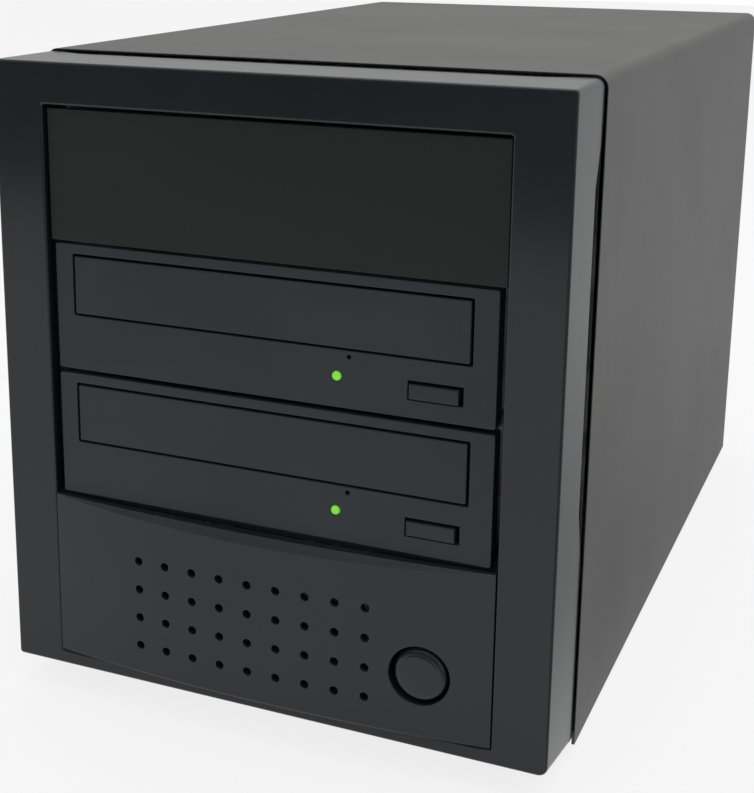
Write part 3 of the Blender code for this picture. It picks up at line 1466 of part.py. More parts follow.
def loader(number, frame):
    """Plastic frame that guides the tray, carries the traverse's pivots and bridges over the disc."""
    side = DRIVE_WIDTH / 2 - 2 * THIN_SHEET - 2 * GAP
    front, back = DRIVE_BEZEL_RIM + LOADER_FRONT_SPACE, DRIVE_LENGTH - LOADER_END_SPACE
    hole = side - LOADER_RAIL_WIDTH
    outer = rectangle((-side, side), (front, back))
    inner = rectangle((-hole, hole), (front + LOADER_FRONT_BAR, back - LOADER_REAR_BAR))
    made = piece(
        f"drive_{number}_loader",
        level_plate([outer, inner], LOADER_RAIL_TOP - LOADER_PLATE, LOADER_RAIL_TOP),
        "loader_plastic",
        frame,
    )
    height = (LOADER_RAIL_TOP - 0.001, BRIDGE_BOTTOM + BRIDGE_PLATE / 2)
    for span in pair(side - LOADER_WALL, side - 0.0001):
        fuse(made, boxes((span, shrunk((front, back), 0.0001), height)))
    legs = bmesh.new()
    height = (GAP + THIN_SHEET + GAP, LOADER_RAIL_TOP - LOADER_PLATE + 0.001)
    for span in pair(side - LOADER_LEG, side - BEND_RADIUS):
        for y in (front + 0.0002, back - LOADER_LEG - 0.0002):
            block(legs, span, (y, y + LOADER_LEG), height)
    fuse(made, legs)
    ring = circle(0, SPINDLE_BACK, CLAMP_RADIUS + 0.0006, 20)
    length = (SPINDLE_BACK - BRIDGE_HALF, SPINDLE_BACK + BRIDGE_HALF)
    bridge = rectangle(shrunk((-side, side), 0.0002), length)
    fuse(made, level_plate([bridge, ring], BRIDGE_BOTTOM, BRIDGE_TOP))
    inner_face = TRAVERSE_WIDTH / 2 + TRAVERSE_PIN_SPACE
    brackets = bmesh.new()
    length = (PIVOT_BACK - BRACKET_HALF, PIVOT_BACK + BRACKET_HALF)
    for span in pair(inner_face, hole + 0.001):
        block(brackets, span, length, (PIVOT_HEIGHT - BRACKET_HALF, PIVOT_HEIGHT + BRACKET_ABOVE))
    fuse(made, brackets)
    bore = PIVOT_RADIUS + RUNNING_GAP
    cut(made, rods(((0, PIVOT_BACK, PIVOT_HEIGHT), bore, 2 * hole - 0.004), axis="X", sides=12))


def traverse(number, frame):
    """Tilting frame that lifts the turntable through the tray, modelled level about its rear pivot."""
    place = (0, PIVOT_BACK, PIVOT_HEIGHT)
    pivot = empty(f"drive_{number}_traverse_pivot", place, frame, (TRAVERSE_DROP, 0, 0))
    half = TRAVERSE_WIDTH / 2
    spindle = SPINDLE_BACK - PIVOT_BACK
    sheet = TRAVERSE_SHEET / 2
    sled_front = spindle + SLED_START - SLED_LENGTH / 2
    sled_end = sled_front + SLED_LENGTH + SLED_TRAVEL
    window_x = ROD_SPACING / 2 + 0.007
    window = rectangle((-window_x, window_x), (sled_front - 0.002, sled_end + 0.001))
    outer = rounded_rectangle((-half, half), (spindle - 0.022, -0.004), 0.006)
    shaft_hole = circle(0, spindle, 0.0026, 12)
    shape = level_plate([outer, window, shaft_hole], -sheet, sheet)
    plate_piece = piece(f"drive_{number}_traverse", shape, "bare_steel", pivot)
    ears = bmesh.new()
    for span in pair(half - 0.008, half - 0.0001):
        block(ears, span, (-0.010, 0.0025), (-0.0022, 0.0022))
    fuse(plate_piece, ears)
    pins = bmesh.new()
    for side in (-1, 1):
        rod(pins, (side * (half + 0.003), 0, 0), PIVOT_RADIUS, 0.010, "X", 12)
    fuse(plate_piece, pins)
    holders = bmesh.new()
    rod_x = ROD_SPACING / 2
    front_holder = (sled_front - 0.005, sled_front - 0.0021)
    rear_holder = (sled_end + 0.0011, sled_end + 0.004)
    for side in (-1, 1):
        for length in (front_holder, rear_holder):
            block(holders, (side * rod_x - 0.003, side * rod_x + 0.003), length, (0, ROD_RISE + 0.003))
    fuse(plate_piece, holders)
    cut(
        plate_piece,
        rods(
            *[
                ((side * rod_x, (sled_front + sled_end) / 2, ROD_RISE), ROD_RADIUS + GAP, 0.1)
                for side in (-1, 1)
            ],
            axis="Y",
            sides=10,
        ),
    )

    start, end = sled_front - 0.0045, sled_end + 0.0035
    for side, word in ((-1, "left"), (1, "right")):
        middle = (side * rod_x, (start + end) / 2, ROD_RISE)
        bar = rods((middle, ROD_RADIUS, end - start), axis="Y", sides=10)
        smooth(piece(f"drive_{number}_rod_{word}", bar, "polished_steel", pivot))

    middle = (0, spindle, -sheet - GAP - MOTOR_DEPTH / 2)
    motor = rods((middle, MOTOR_RADIUS, MOTOR_DEPTH), axis="Z", sides=20)
    smooth(piece(f"drive_{number}_motor", motor, "bare_steel", pivot))
    turntable(number, pivot, spindle)
    sled(number, pivot, sled_front)


def turntable(number, pivot, spindle):
    top = TURNTABLE_TOP
    lowest = TRAVERSE_SHEET / 2
    profile = [
        (0, top + CONE_HEIGHT),
        (CONE_RADIUS * 0.75, top + CONE_HEIGHT),
        (CONE_RADIUS, top + 0.0004),
        (CONE_RADIUS, top),
        (TURNTABLE_RADIUS, top),
        (TURNTABLE_RADIUS, top - 0.0014),
        (CONE_RADIUS, top - 0.0014),
        (CONE_RADIUS, top - 0.0045),
        (MOTOR_RADIUS - 0.001, top - 0.0050),
        (MOTOR_RADIUS - 0.001, lowest + GAP),
        (0.0015, lowest + GAP),
        (0.0015, -lowest),
        (0, -lowest),
    ]
    axis = empty(f"drive_{number}_turntable_axis", (0, spindle, 0), pivot)
    shape = turned(bmesh.new(), profile, (0, 0, 0), "Z", 16)
    smooth(piece(f"drive_{number}_turntable", shape, "loader_plastic", axis))


def sled(number, pivot, sled_front):
    """Pickup on two guide rods, with its lens on top."""
    half = ROD_SPACING / 2 + 0.0055
    slide = empty(f"drive_{number}_sled_slide", (0, sled_front + SLED_LENGTH / 2, 0), pivot)
    made = piece(
        f"drive_{number}_sled",
        boxes(((-half, half), (-SLED_LENGTH / 2, SLED_LENGTH / 2), (-0.0020, 0.0055))),
        "polished_steel",
        slide,
    )
    top = boxes(((-0.013, 0.013), (-SLED_LENGTH / 2 + 0.002, SLED_LENGTH / 2 - 0.002), (0.004, 0.0068)))
    rod(top, (0, 0, 0.0070), 0.0040, 0.0026, "Z", 12)
    fuse(made, top)
    bores = rods(
        *[((side * ROD_SPACING / 2, 0, ROD_RISE), ROD_RADIUS + GAP, 0.05) for side in (-1, 1)],
        axis="Y",
        sides=10,
    )
    cut(made, bores)


def disc_clamp(number, frame):
    """Loose puck in the bridge that holds the disc down on the turntable."""
    low, seat, high = BRIDGE_BOTTOM - CLAMP_BELOW, BRIDGE_TOP + GAP, BRIDGE_TOP + CLAMP_ABOVE
    profile = [
        (0, high),
        (CLAMP_RADIUS + CLAMP_RIM, high),
        (CLAMP_RADIUS + CLAMP_RIM, seat),
        (CLAMP_RADIUS, seat),
        (CLAMP_RADIUS, low),
        (0, low),
    ]
    shape = turned(bmesh.new(), profile, (0, SPINDLE_BACK, 0), "Z", 20)
    smooth(piece(f"drive_{number}_clamp", shape, "white_plastic", frame))


def drives():
    for number, bottom in enumerate(DRIVE_BOTTOMS, 1):
        frame = empty(f"drive_{number}_frame", (0, DRIVE_RECESS, bottom), TOWER)
        TRAYS[number] = empty(f"drive_{number}_tray_slide", (0, 0, 0), frame)
        drive_shell(number, frame)
        drive_board(number, frame)
        drive_bezel(number, frame)
        drive_controls(number, frame)
        tray(number)
        loader(number, frame)
        traverse(number, frame)
        disc_clamp(number, frame)


clear_scene()
PARTS = new_collection("disc_duplicator_tower")
CUTTERS = new_collection("cutters")
TOWER = empty("tower", (0, -(FRONT_REACH + REAR_REACH) / 2, 0))
TRAYS = {}
front_bezel()
lower_panel()
power_button()
power_switch()
bay_cover()
case_cover()
chassis_base()
chassis_front()
feet()
cage_walls()
rear_panel()
psu()
power_inlet()
rocker()
fans()
psu_fan_guard()
controller()
drives()
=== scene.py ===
"""Dresses a disc duplicator tower: models its pieces in detail, paints them and sets the stage.

Metres, +Z up. The front faces -Y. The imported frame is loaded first, and every piece stands where its solid
stands and rides on the same body.
"""

import json
import math

import bmesh
import bpy
from mathutils import Euler, Matrix, Vector

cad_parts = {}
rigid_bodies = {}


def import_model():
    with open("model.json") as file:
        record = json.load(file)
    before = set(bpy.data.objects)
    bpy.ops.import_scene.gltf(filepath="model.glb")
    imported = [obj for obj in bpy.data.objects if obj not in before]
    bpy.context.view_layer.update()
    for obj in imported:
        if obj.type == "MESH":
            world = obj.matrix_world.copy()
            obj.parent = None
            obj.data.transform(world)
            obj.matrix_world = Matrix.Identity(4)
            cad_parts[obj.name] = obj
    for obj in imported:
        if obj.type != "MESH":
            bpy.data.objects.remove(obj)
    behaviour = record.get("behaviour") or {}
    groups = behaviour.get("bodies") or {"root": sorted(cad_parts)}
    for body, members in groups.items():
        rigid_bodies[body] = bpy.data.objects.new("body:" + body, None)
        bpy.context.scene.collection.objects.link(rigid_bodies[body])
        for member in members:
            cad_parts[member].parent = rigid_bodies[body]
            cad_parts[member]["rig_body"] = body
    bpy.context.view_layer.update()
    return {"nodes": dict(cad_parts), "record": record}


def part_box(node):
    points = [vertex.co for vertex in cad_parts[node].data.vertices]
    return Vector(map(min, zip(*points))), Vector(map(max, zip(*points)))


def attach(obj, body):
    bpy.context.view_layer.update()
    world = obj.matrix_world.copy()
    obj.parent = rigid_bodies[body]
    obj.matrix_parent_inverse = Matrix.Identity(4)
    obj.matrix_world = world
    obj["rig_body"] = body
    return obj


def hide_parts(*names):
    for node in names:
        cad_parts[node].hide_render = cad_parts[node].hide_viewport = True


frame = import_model()
SLOT_OF = {row["node"]: row["material_slot"] for row in frame["record"]["subparts"]}

bl_info = {
    "name": "Disc duplicator tower",
    "version": (1, 0, 0),
    "blender": (4, 5, 0),
    "location": "3D View > Sidebar > Tower",
    "description": "Models and paints a disc duplicator tower on its packed frame",
    "category": "Add Mesh",
}

FEET = tuple(name for name in frame["nodes"] if name.startswith("foot"))
DRIVE_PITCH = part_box("drive_1_bezel")[0].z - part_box("drive_2_bezel")[0].z
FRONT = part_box("front_bezel")[0].y
MIDDLE_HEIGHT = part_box("front_bezel")[1].z / 2
SIDES = (-1, 1)

# How far a cutter reaches past what it cuts
PAST = 0.01
# A little more, so that two faces don't lie in each other
HAIR = 0.0003
# Height of the moulding's rail under the lower panel
RAIL = 0.005
VENT_COLUMNS = 9
VENT_ROWS = 4
VENT_LEFT = -0.04375
VENT_BOTTOM = 0.0248
# Place of the upper drive's emergency hole, across and up
PIN_HOLE = (0.0281, 0.1326)
# How far a fan's screws stand from its middle, across and up
SCREW_REACH = 0.03575
# Faces that meet at less than this are shaded as one
SMOOTH_ANGLE = math.radians(40)
WHITE = (1, 1, 1, 1)
FRONTWARD = (0, -1, 0)
ACROSS = (1, 0, 0)


class TowerSizes(bpy.types.PropertyGroup):
    """Sizes of the moulded front and of the sheet metal."""

    corner_radius: bpy.props.FloatProperty(
        name="Corner radius", description="Radius of the front's four corners", default=0.003, unit="LENGTH"
    )
    edge_radius: bpy.props.FloatProperty(
        name="Edge radius", description="Radius round the front face", default=0.0009, unit="LENGTH"
    )
    moulding_wall: bpy.props.FloatProperty(
        name="Moulding wall", description="Wall of the front moulding", default=0.0025, unit="LENGTH"
    )
    front_bottom: bpy.props.FloatProperty(
        name="Front bottom", description="Height of the front face's lower edge", default=0.0098,
        unit="LENGTH",
    )
    front_top: bpy.props.FloatProperty(
        name="Front top", description="Height of the front face's upper edge", default=0.2158, unit="LENGTH"
    )
    top_rise: bpy.props.FloatProperty(
        name="Top rise", description="How far the moulding's top rises to the rear", default=0.0002,
        unit="LENGTH",
    )
    bay_half: bpy.props.FloatProperty(
        name="Bay half width", description="Half the width of the bay opening", default=0.0765, unit="LENGTH"
    )
    bay_bottom: bpy.props.FloatProperty(
        name="Bay bottom", description="Height of the bay opening's lower edge", default=0.0726, unit="LENGTH"
    )
    bay_top: bpy.props.FloatProperty(
        name="Bay top", description="Height of the bay opening's upper edge", default=0.2023, unit="LENGTH"
    )
    lip: bpy.props.FloatProperty(
        name="Lip", description="Rounding of the edge round the bays", default=0.0009, unit="LENGTH"
    )
    notch_depth: bpy.props.FloatProperty(
        name="Notch depth", description="How far the moulding's rear edge is cut back", default=0.0062,
        unit="LENGTH",
    )
    tunnel_depth: bpy.props.FloatProperty(
        name="Tunnel depth", description="Depth of the wall round the bays", default=0.014, unit="LENGTH"
    )
    panel_gap: bpy.props.FloatProperty(
        name="Panel gap", description="Gap round the lower panel", default=0.00013, unit="LENGTH"
    )
    panel_bulge: bpy.props.FloatProperty(
        name="Panel bulge", description="How far the lower panel stands proud", default=0.004, unit="LENGTH"
    )
    panel_bottom_sag: bpy.props.FloatProperty(
        name="Panel bottom sag", description="How far its lower edge hangs", default=0.0004, unit="LENGTH"
    )
    panel_top_sag: bpy.props.FloatProperty(
        name="Panel top sag", description="How far its upper edge hangs", default=0.0012, unit="LENGTH"
    )
    panel_chamfer: bpy.props.FloatProperty(
        name="Panel chamfer", description="Height of the slope on its upper edge", default=0.0035,
        unit="LENGTH",
    )
    vent_radius: bpy.props.FloatProperty(
        name="Vent radius", description="Radius of a vent hole", default=0.0013, unit="LENGTH"
    )
    vent_pitch: bpy.props.FloatProperty(
        name="Vent pitch", description="Distance between vent holes", default=0.010, unit="LENGTH"
    )
    sheet: bpy.props.FloatProperty(
        name="Sheet", description="Thickness of the steel cover", default=0.001, unit="LENGTH"
    )
    cover_bend: bpy.props.FloatProperty(
        name="Cover bend", description="Radius of the cover's long bends", default=0.004, unit="LENGTH"
    )


class TowerColours(bpy.types.PropertyGroup):
    """Colours of the finishes."""

    front: bpy.props.FloatVectorProperty(
        name="Front", description="Moulded front", default=(0.0072, 0.0121, 0.0141), subtype="COLOR", size=3
    )
    blank: bpy.props.FloatVectorProperty(
        name="Blank", description="Blank of the upper bay", default=(0.0055, 0.0085, 0.0085),
        subtype="COLOR", size=3,
    )
    drive: bpy.props.FloatVectorProperty(
        name="Drive", description="Fronts of the drives", default=(0.0172, 0.0240, 0.0285),
        subtype="COLOR", size=3,
    )
    case: bpy.props.FloatVectorProperty(
        name="Case", description="Painted steel", default=(0.0690, 0.0720, 0.0680), subtype="COLOR", size=3
    )
    light: bpy.props.FloatVectorProperty(
        name="Light", description="Lit lens", default=(0.19, 0.64, 0.045), subtype="COLOR", size=3
    )
    board: bpy.props.FloatVectorProperty(
        name="Board", description="Circuit board", default=(0.012, 0.11, 0.045), subtype="COLOR", size=3
    )


class TowerStudio(bpy.types.PropertyGroup):
    """Camera and light of the stage."""

    lens: bpy.props.FloatProperty(
        name="Lens", description="Focal length in millimetres", default=67.0, subtype="DISTANCE_CAMERA"
    )
    azimuth: bpy.props.FloatProperty(
        name="Azimuth", description="How far right of the front the camera stands",
        default=math.radians(23.74), subtype="ANGLE",
    )
    elevation: bpy.props.FloatProperty(
        name="Elevation", description="How far the camera looks down", default=math.radians(13.89),
        subtype="ANGLE",
    )
    roll: bpy.props.FloatProperty(
        name="Roll", description="Turn of the picture", default=math.radians(0.31), subtype="ANGLE"
    )
    room: bpy.props.FloatProperty(name="Room", description="Strength of the light all round", default=0.55)
    mirrored: bpy.props.FloatProperty(
        name="Mirrored", description="Brightness of the white room in reflections", default=0.56
    )
    key: bpy.props.FloatProperty(name="Key", description="Power of the top light", default=9.0, unit="POWER")
    side: bpy.props.FloatProperty(
        name="Side", description="Power of the right light", default=3.0, unit="POWER"
    )


# Ways to work on a mesh


def deselect():
    if bpy.context.object and bpy.context.object.mode != "OBJECT":
        bpy.ops.object.mode_set(mode="OBJECT")
    bpy.ops.object.select_all(action="DESELECT")


def take(thing):
    """Makes the thing the only selected and the active one."""
    deselect()
    thing.select_set(True)
    bpy.context.view_layer.objects.active = thing


def edit(thing):
    take(thing)
    bpy.ops.object.mode_set(mode="EDIT")


def pick(kind, test):
    """In edit mode, selects the vertices, edges or faces that pass the test, and nothing else."""
    bpy.ops.mesh.select_mode(type=kind)
    bpy.ops.mesh.select_all(action="DESELECT")
    mesh = bpy.context.object.data
    shape = bmesh.from_edit_mesh(mesh)
    items = {"VERT": shape.verts, "EDGE": shape.edges, "FACE": shape.faces}[kind]
    found = [item for item in items if not item.hide and test(item)]
    for item in found:
        item.select_set(True)
    bmesh.update_edit_mesh(mesh)
    if not found:
        raise RuntimeError(f"nothing to select on {bpy.context.object.name}")


def near(value, target, tolerance=0.00002):
    return abs(value - target) < tolerance


def middle(edge):
    return (edge.verts[0].co + edge.verts[1].co) / 2


def along(edge, axis):
    """Whether the edge runs along the axis 0, 1 or 2."""
    run = edge.verts[1].co - edge.verts[0].co
    return run.length > 0 and abs(run[axis]) > 0.9 * run.length


def long_upper(edge):
    """Whether the edge runs from front to rear in the tower's upper half."""
    return along(edge, 1) and middle(edge).z > MIDDLE_HEIGHT


def both(edge, axis, value):
    return all(near(corner.co[axis], value) for corner in edge.verts)


def sharp(edge, angle):
    return edge.is_manifold and edge.calc_face_angle() > angle


def round_edges(thing, test, radius, segments=3):
    """Rounds the edges that pass the test, and stays in edit mode."""
    edit(thing)
    pick("EDGE", test)
    bpy.ops.mesh.bevel(offset=radius, offset_type="OFFSET", segments=segments, profile=0.5, affect="EDGES")


def shift(test, move):
    """In edit mode, moves the vertices that pass the test."""
    pick("VERT", test)
    bpy.ops.transform.translate(value=move)


def apply_place(thing, name):
    bpy.ops.object.transform_apply(location=True, rotation=True, scale=True)
    thing.name = name
    return thing


def add_box(name, low, high):
    """A box between two corners."""
    deselect()
    low, high = Vector(low), Vector(high)
    bpy.ops.mesh.primitive_cube_add(size=1, location=(low + high) / 2, scale=high - low)
    return apply_place(bpy.context.object, name)


def slab(name, box, margin, front, rear):
    """A box as wide and high as the given one, with a margin on each side, from the front to the rear."""
    low, high = box
    return add_box(name, (low.x - margin, front, low.z - margin), (high.x + margin, rear, high.z + margin))


def add_rod(name, start, end, radius, sides=48):
    """A cylinder from one point to another."""
    deselect()
    start, end = Vector(start), Vector(end)
    turn = (end - start).to_track_quat("Z", "Y").to_euler()
    bpy.ops.mesh.primitive_cylinder_add(
        vertices=sides, radius=radius, depth=(end - start).length, location=(start + end) / 2, rotation=turn
    )
    return apply_place(bpy.context.object, name)


def turned(name, profile, centre, axis, across, steps):
    """A piece turned from a profile of (radius, height) along the axis from the centre."""
    deselect()
    centre, axis, across = Vector(centre), Vector(axis), Vector(across)
    points = [centre + across * radius + axis * height for radius, height in profile]
    bpy.ops.mesh.primitive_plane_add(size=0.001, location=points[0])
    thing = apply_place(bpy.context.object, name)
    bpy.ops.object.mode_set(mode="EDIT")
    bpy.ops.mesh.select_mode(type="VERT")
    bpy.ops.mesh.select_all(action="SELECT")
    bpy.ops.mesh.merge(type="CENTER")
    for before, after in zip(points, points[1:]):
        bpy.ops.mesh.extrude_vertices_move(TRANSFORM_OT_translate={"value": after - before})
    bpy.ops.mesh.select_all(action="SELECT")
    bpy.ops.mesh.spin(steps=steps, angle=2 * math.pi, center=centre, axis=axis)
    bpy.ops.mesh.select_all(action="SELECT")
    bpy.ops.mesh.remove_doubles(threshold=0.000002)
    bpy.ops.mesh.normals_make_consistent(inside=False)
    bpy.ops.object.mode_set(mode="OBJECT")
    return thing


def copy_of(thing, name, move):
    """A copy with its own mesh, moved from where the first one stands."""
    made = thing.copy()
    made.data = thing.data.copy()
    made.name = name
    bpy.context.scene.collection.objects.link(made)
    take(made)
    bpy.ops.object.mode_set(mode="EDIT")
    bpy.ops.mesh.select_all(action="SELECT")
    bpy.ops.transform.translate(value=move)
    bpy.ops.object.mode_set(mode="OBJECT")
    return made


def joined(things):
    deselect()
    for thing in things:
        thing.select_set(True)
    bpy.context.view_layer.objects.active = things[0]
    bpy.ops.object.join()
    return things[0]


def use_modifier(thing, kind, **settings):
    """Adds a modifier, sets it and applies it."""
    take(thing)
    bpy.ops.object.modifier_add(type=kind)
    modifier = thing.modifiers[-1]
    for key, value in settings.items():
        setattr(modifier, key, value)
    bpy.ops.object.modifier_apply(modifier=modifier.name)


def carve(thing, cutter, operation="DIFFERENCE"):
    use_modifier(thing, "BOOLEAN", operation=operation, object=cutter, solver="EXACT")
    bpy.data.objects.remove(cutter, do_unlink=True)


def bow(thing, test, axis, amount, half):
    """Moves the middle of the vertices that pass the test, and fades the move to nothing at both ends."""
    edit(thing)
    pick("VERT", lambda corner: not test(corner))
    bpy.ops.mesh.hide(unselected=False)
    pick("VERT", lambda corner: near(corner.co.x, 0))
    move = [0, 0, 0]
    move[axis] = amount
    bpy.ops.transform.translate(
        value=move,
        use_proportional_edit=True,
        proportional_edit_falloff="INVERSE_SQUARE",
        proportional_size=half,
    )
    bpy.ops.mesh.reveal(select=False)
    bpy.ops.object.mode_set(mode="OBJECT")


def strips(thing, count):
    """Divides a box into strips across x."""
    edit(thing)
    pick("EDGE", lambda edge: along(edge, 0))
    bpy.ops.mesh.subdivide(number_cuts=count - 1)
    bpy.ops.object.mode_set(mode="OBJECT")


def finish(thing, body, slot, *nodes):
    """Shades the piece, paints it, lets it ride on its body and hides the solids that it stands for."""
    take(thing)
    bpy.ops.object.transform_apply(location=True, rotation=True, scale=True)
    bpy.ops.object.shade_smooth_by_angle(angle=SMOOTH_ANGLE)
    use_modifier(thing, "WEIGHTED_NORMAL", keep_sharp=True, weight=100)
    thing.data.materials.clear()
    thing.data.materials.append(bpy.data.materials[slot])
    if nodes:
        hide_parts(*nodes)
    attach(thing, body)


def sizes():
    return bpy.context.scene.tower_sizes


# Pieces


class TOWER_OT_front_moulding(bpy.types.Operator):
    """Moulded front: a hollow shell with a tunnel round the bays and a hole for the lower panel"""

    bl_idname = "tower.front_moulding"
    bl_label = "Front moulding"

    def execute(self, context):
        size = sizes()
        low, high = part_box("front_bezel")
        top, foot = size.front_top, size.front_bottom
        wall = size.moulding_wall
        thing = add_box("front_moulding", (low.x, low.y, foot), (high.x, high.y, top))
        edit(thing)
        shift(lambda corner: near(corner.co.y, high.y) and near(corner.co.z, top), (0, 0, size.top_rise))
        shift(lambda corner: near(corner.co.y, high.y) and near(corner.co.z, foot), (0, 0, low.z - foot))
        round_edges(thing, lambda edge: along(edge, 1), size.corner_radius, 6)
        sharper, reach = 0.4, 0.004
        for side, level in ((-1, top), (1, top), (-1, foot)):
            pick(
                "VERT",
                lambda corner: near(corner.co.y, low.y)
                and side * corner.co.x > high.x - reach
                and near(corner.co.z, level, reach),
            )
            bpy.ops.transform.resize(
                value=(sharper, 1, sharper), center_override=(side * high.x, low.y, level)
            )
        round_edges(thing, lambda edge: both(edge, 1, low.y), size.edge_radius, 4)

        hollow = add_box(
            "hollow",
            (low.x + wall, low.y + wall, foot + wall),
            (high.x - wall, high.y + PAST, top - wall),
        )
        slope = (low.z - foot) / (high.y - low.y)
        edit(hollow)
        shift(
            lambda corner: corner.co.y > high.y and corner.co.z < MIDDLE_HEIGHT,
            (0, 0, slope * (high.y + PAST - low.y - wall)),
        )
        round_edges(hollow, lambda edge: along(edge, 1), size.corner_radius / 3)
        carve(thing, hollow)

        tunnel_wall = 0.0016
        outer = size.bay_half + tunnel_wall
        tunnel = add_box(
            "tunnel",
            (-outer, low.y + wall / 2, size.bay_bottom - tunnel_wall),
            (outer, low.y + size.tunnel_depth, size.bay_top + tunnel_wall),
        )
        carve(thing, tunnel, "UNION")
        opening = add_box(
            "opening",
            (-size.bay_half, low.y - PAST, size.bay_bottom),
            (size.bay_half, low.y + size.tunnel_depth + PAST, size.bay_top),
        )
        round_edges(opening, long_upper, radius=0.0006)
        carve(thing, opening)

        hole_bottom, hole_rear = foot + RAIL, low.y + wall + 0.0002
        hole = add_box(
            "panel_hole",
            (-size.bay_half, low.y - PAST, hole_bottom),
            (size.bay_half, hole_rear, size.bay_bottom + HAIR),
        )
        strips(hole, 48)
        sag = size.panel_bottom_sag + HAIR
        bow(hole, lambda corner: near(corner.co.z, hole_bottom), 2, -sag, size.bay_half)
        carve(thing, hole)

        self.cut_notches(thing, low, high)
        beside, above = 0.001, 0.0012
        round_edges(
            thing,
            lambda edge: both(edge, 1, low.y)
            and abs(middle(edge).x) < size.bay_half + beside
            and foot + above < middle(edge).z < size.bay_top + beside
            and sharp(edge, 1),
            radius=size.lip,
        )
        finish(thing, "tower", "gloss_black", "front_bezel")
        return {"FINISHED"}

    def cut_notches(self, thing, low, high):
        """Cuts the rear edge back along both sides and the top, with slopes at the notches' ends."""
        size = sizes()
        start, rear = high.y - size.notch_depth, high.y + HAIR
        bottom, top, slope = 0.0645, 0.2047, 0.020
        notch = add_box("side_notch", (low.x - PAST, start, bottom), (high.x + PAST, rear, top))
        edit(notch)
        for level, move in ((bottom, slope), (top, -slope)):
            shift(lambda corner: near(corner.co.y, start) and near(corner.co.z, level), (0, 0, move))
        carve(thing, notch)
        half, slope = high.x - 0.003, 0.014
        notch = add_box("top_notch", (-half, start, size.front_top - 0.006), (half, rear, high.z + PAST))
        edit(notch)
        for side in SIDES:
            shift(
                lambda corner: near(corner.co.y, start) and near(corner.co.x, side * half),
                (-side * slope, 0, 0),
            )
        carve(thing, notch)


def panel_front(x):
    """Where the panel's bowed face stands from front to rear, at this place across."""
    size = sizes()
    half = size.bay_half - size.panel_gap
    return FRONT - size.panel_bulge * (1 - (x / half) ** 2)


def vent_places():
    pitch = sizes().vent_pitch
    for row in range(VENT_ROWS):
        for column in range(VENT_COLUMNS):
            yield VENT_LEFT + column * pitch, VENT_BOTTOM + row * pitch


class TOWER_OT_lower_panel(bpy.types.Operator):
    """Lower panel: a bowed face with a sloped upper edge, vent holes and the button's bore"""

    bl_idname = "tower.lower_panel"
    bl_label = "Lower panel"

    def execute(self, context):
        size = sizes()
        half = size.bay_half - size.panel_gap
        top_gap, step = 0.0005, 0.0002
        bottom, top = size.front_bottom + RAIL + size.panel_gap, size.bay_bottom - top_gap
        back = FRONT + size.moulding_wall - HAIR
        thing = add_box("bowed_panel", (-half, FRONT, bottom), (half, back, top))
        strips(thing, 50)
        bow(thing, lambda corner: near(corner.co.z, bottom), 2, -size.panel_bottom_sag, half)
        bow(thing, lambda corner: near(corner.co.z, top, 0.0001), 2, -size.panel_top_sag, half)
        bow(thing, lambda corner: near(corner.co.y, FRONT), 1, -size.panel_bulge, half)
        self.cut_slope(thing, top - step)

        start = FRONT + 0.0019
        pocket_half, pocket_bow = 0.0713, 0.0035
        pocket = add_box(
            "pocket",
            (-pocket_half, start, bottom + 0.0024),
            (pocket_half, back + PAST, top - 0.0059),
        )
        strips(pocket, 32)
        bow(pocket, lambda corner: near(corner.co.y, start), 1, -pocket_bow, pocket_half)
        carve(thing, pocket)

        low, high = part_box("power_button")
        x, z = (low.x + high.x) / 2, (low.z + high.z) / 2
        bore = (high.x - low.x) / 2 + 0.0004
        collar_wall, collar_rear = 0.0018, FRONT + 0.012
        collar = add_rod("collar", (x, FRONT - 0.0005, z), (x, collar_rear, z), bore + collar_wall)
        carve(thing, collar, "UNION")
        carve(thing, add_rod("bore", (x, FRONT - 2 * PAST, z), (x, FRONT + 2 * PAST, z), bore, 64))
        self.drill_vents(thing)

        round_edges(
            thing,
            lambda edge: sharp(edge, 0.9)
            and near((middle(edge).xz - Vector((x, z))).length, bore, 0.0002)
            and middle(edge).y < FRONT,
            radius=0.0003,
        )
        round_edges(
            thing,
            lambda edge: sharp(edge, 0.5)
            and middle(edge).z < bottom + 0.0001
            and abs(middle(edge).y - panel_front(middle(edge).x)) < 0.0002,
            radius=0.0007,
            segments=4,
        )
        round_edges(
            thing,
            lambda edge: sharp(edge, 0.5)
            and middle(edge).y < FRONT + 0.0001
            and middle(edge).z > bottom + 0.001
            and (both(edge, 0, half) or both(edge, 0, -half)),
            radius=0.00022,
            segments=2,
        )
        finish(thing, "tower", "gloss_black", "lower_panel")
        return {"FINISHED"}

    def cut_slope(self, thing, seat):
        """Cuts the slope along the upper edge, which meets the moulding's face at the seat's height."""
        size = sizes()
        reach, half = 0.02, 0.1
        wedge = add_box("wedge", (-half, FRONT - reach, seat), (half, FRONT + reach, seat + 2 * reach))
        edit(wedge)
        for side in SIDES:
            shift(
                lambda corner: near(corner.co.y, FRONT + side * reach) and near(corner.co.z, seat),
                (0, 0, side * reach * size.panel_chamfer / size.panel_bulge),
            )
        carve(thing, wedge)

    def drill_vents(self, thing):
        """Cuts all vent holes with copies of one drill, whose shoulder widens each mouth."""
        radius = sizes().vent_radius
        mouth, rim, depth = radius * 1.5, radius * 1.18, 0.012
        profile = [(0, depth / 2), (mouth, depth / 2), (mouth, 0.0002), (rim, 0.0)]
        profile += [(radius, -0.0003), (radius, -depth), (0, -depth)]
        drill = turned("drill", profile, (0, 0, 0), FRONTWARD, ACROSS, 20)
        drills = [copy_of(drill, "drill_copy", (x, panel_front(x), z)) for x, z in vent_places()]
        bpy.data.objects.remove(drill, do_unlink=True)
        carve(thing, joined(drills))


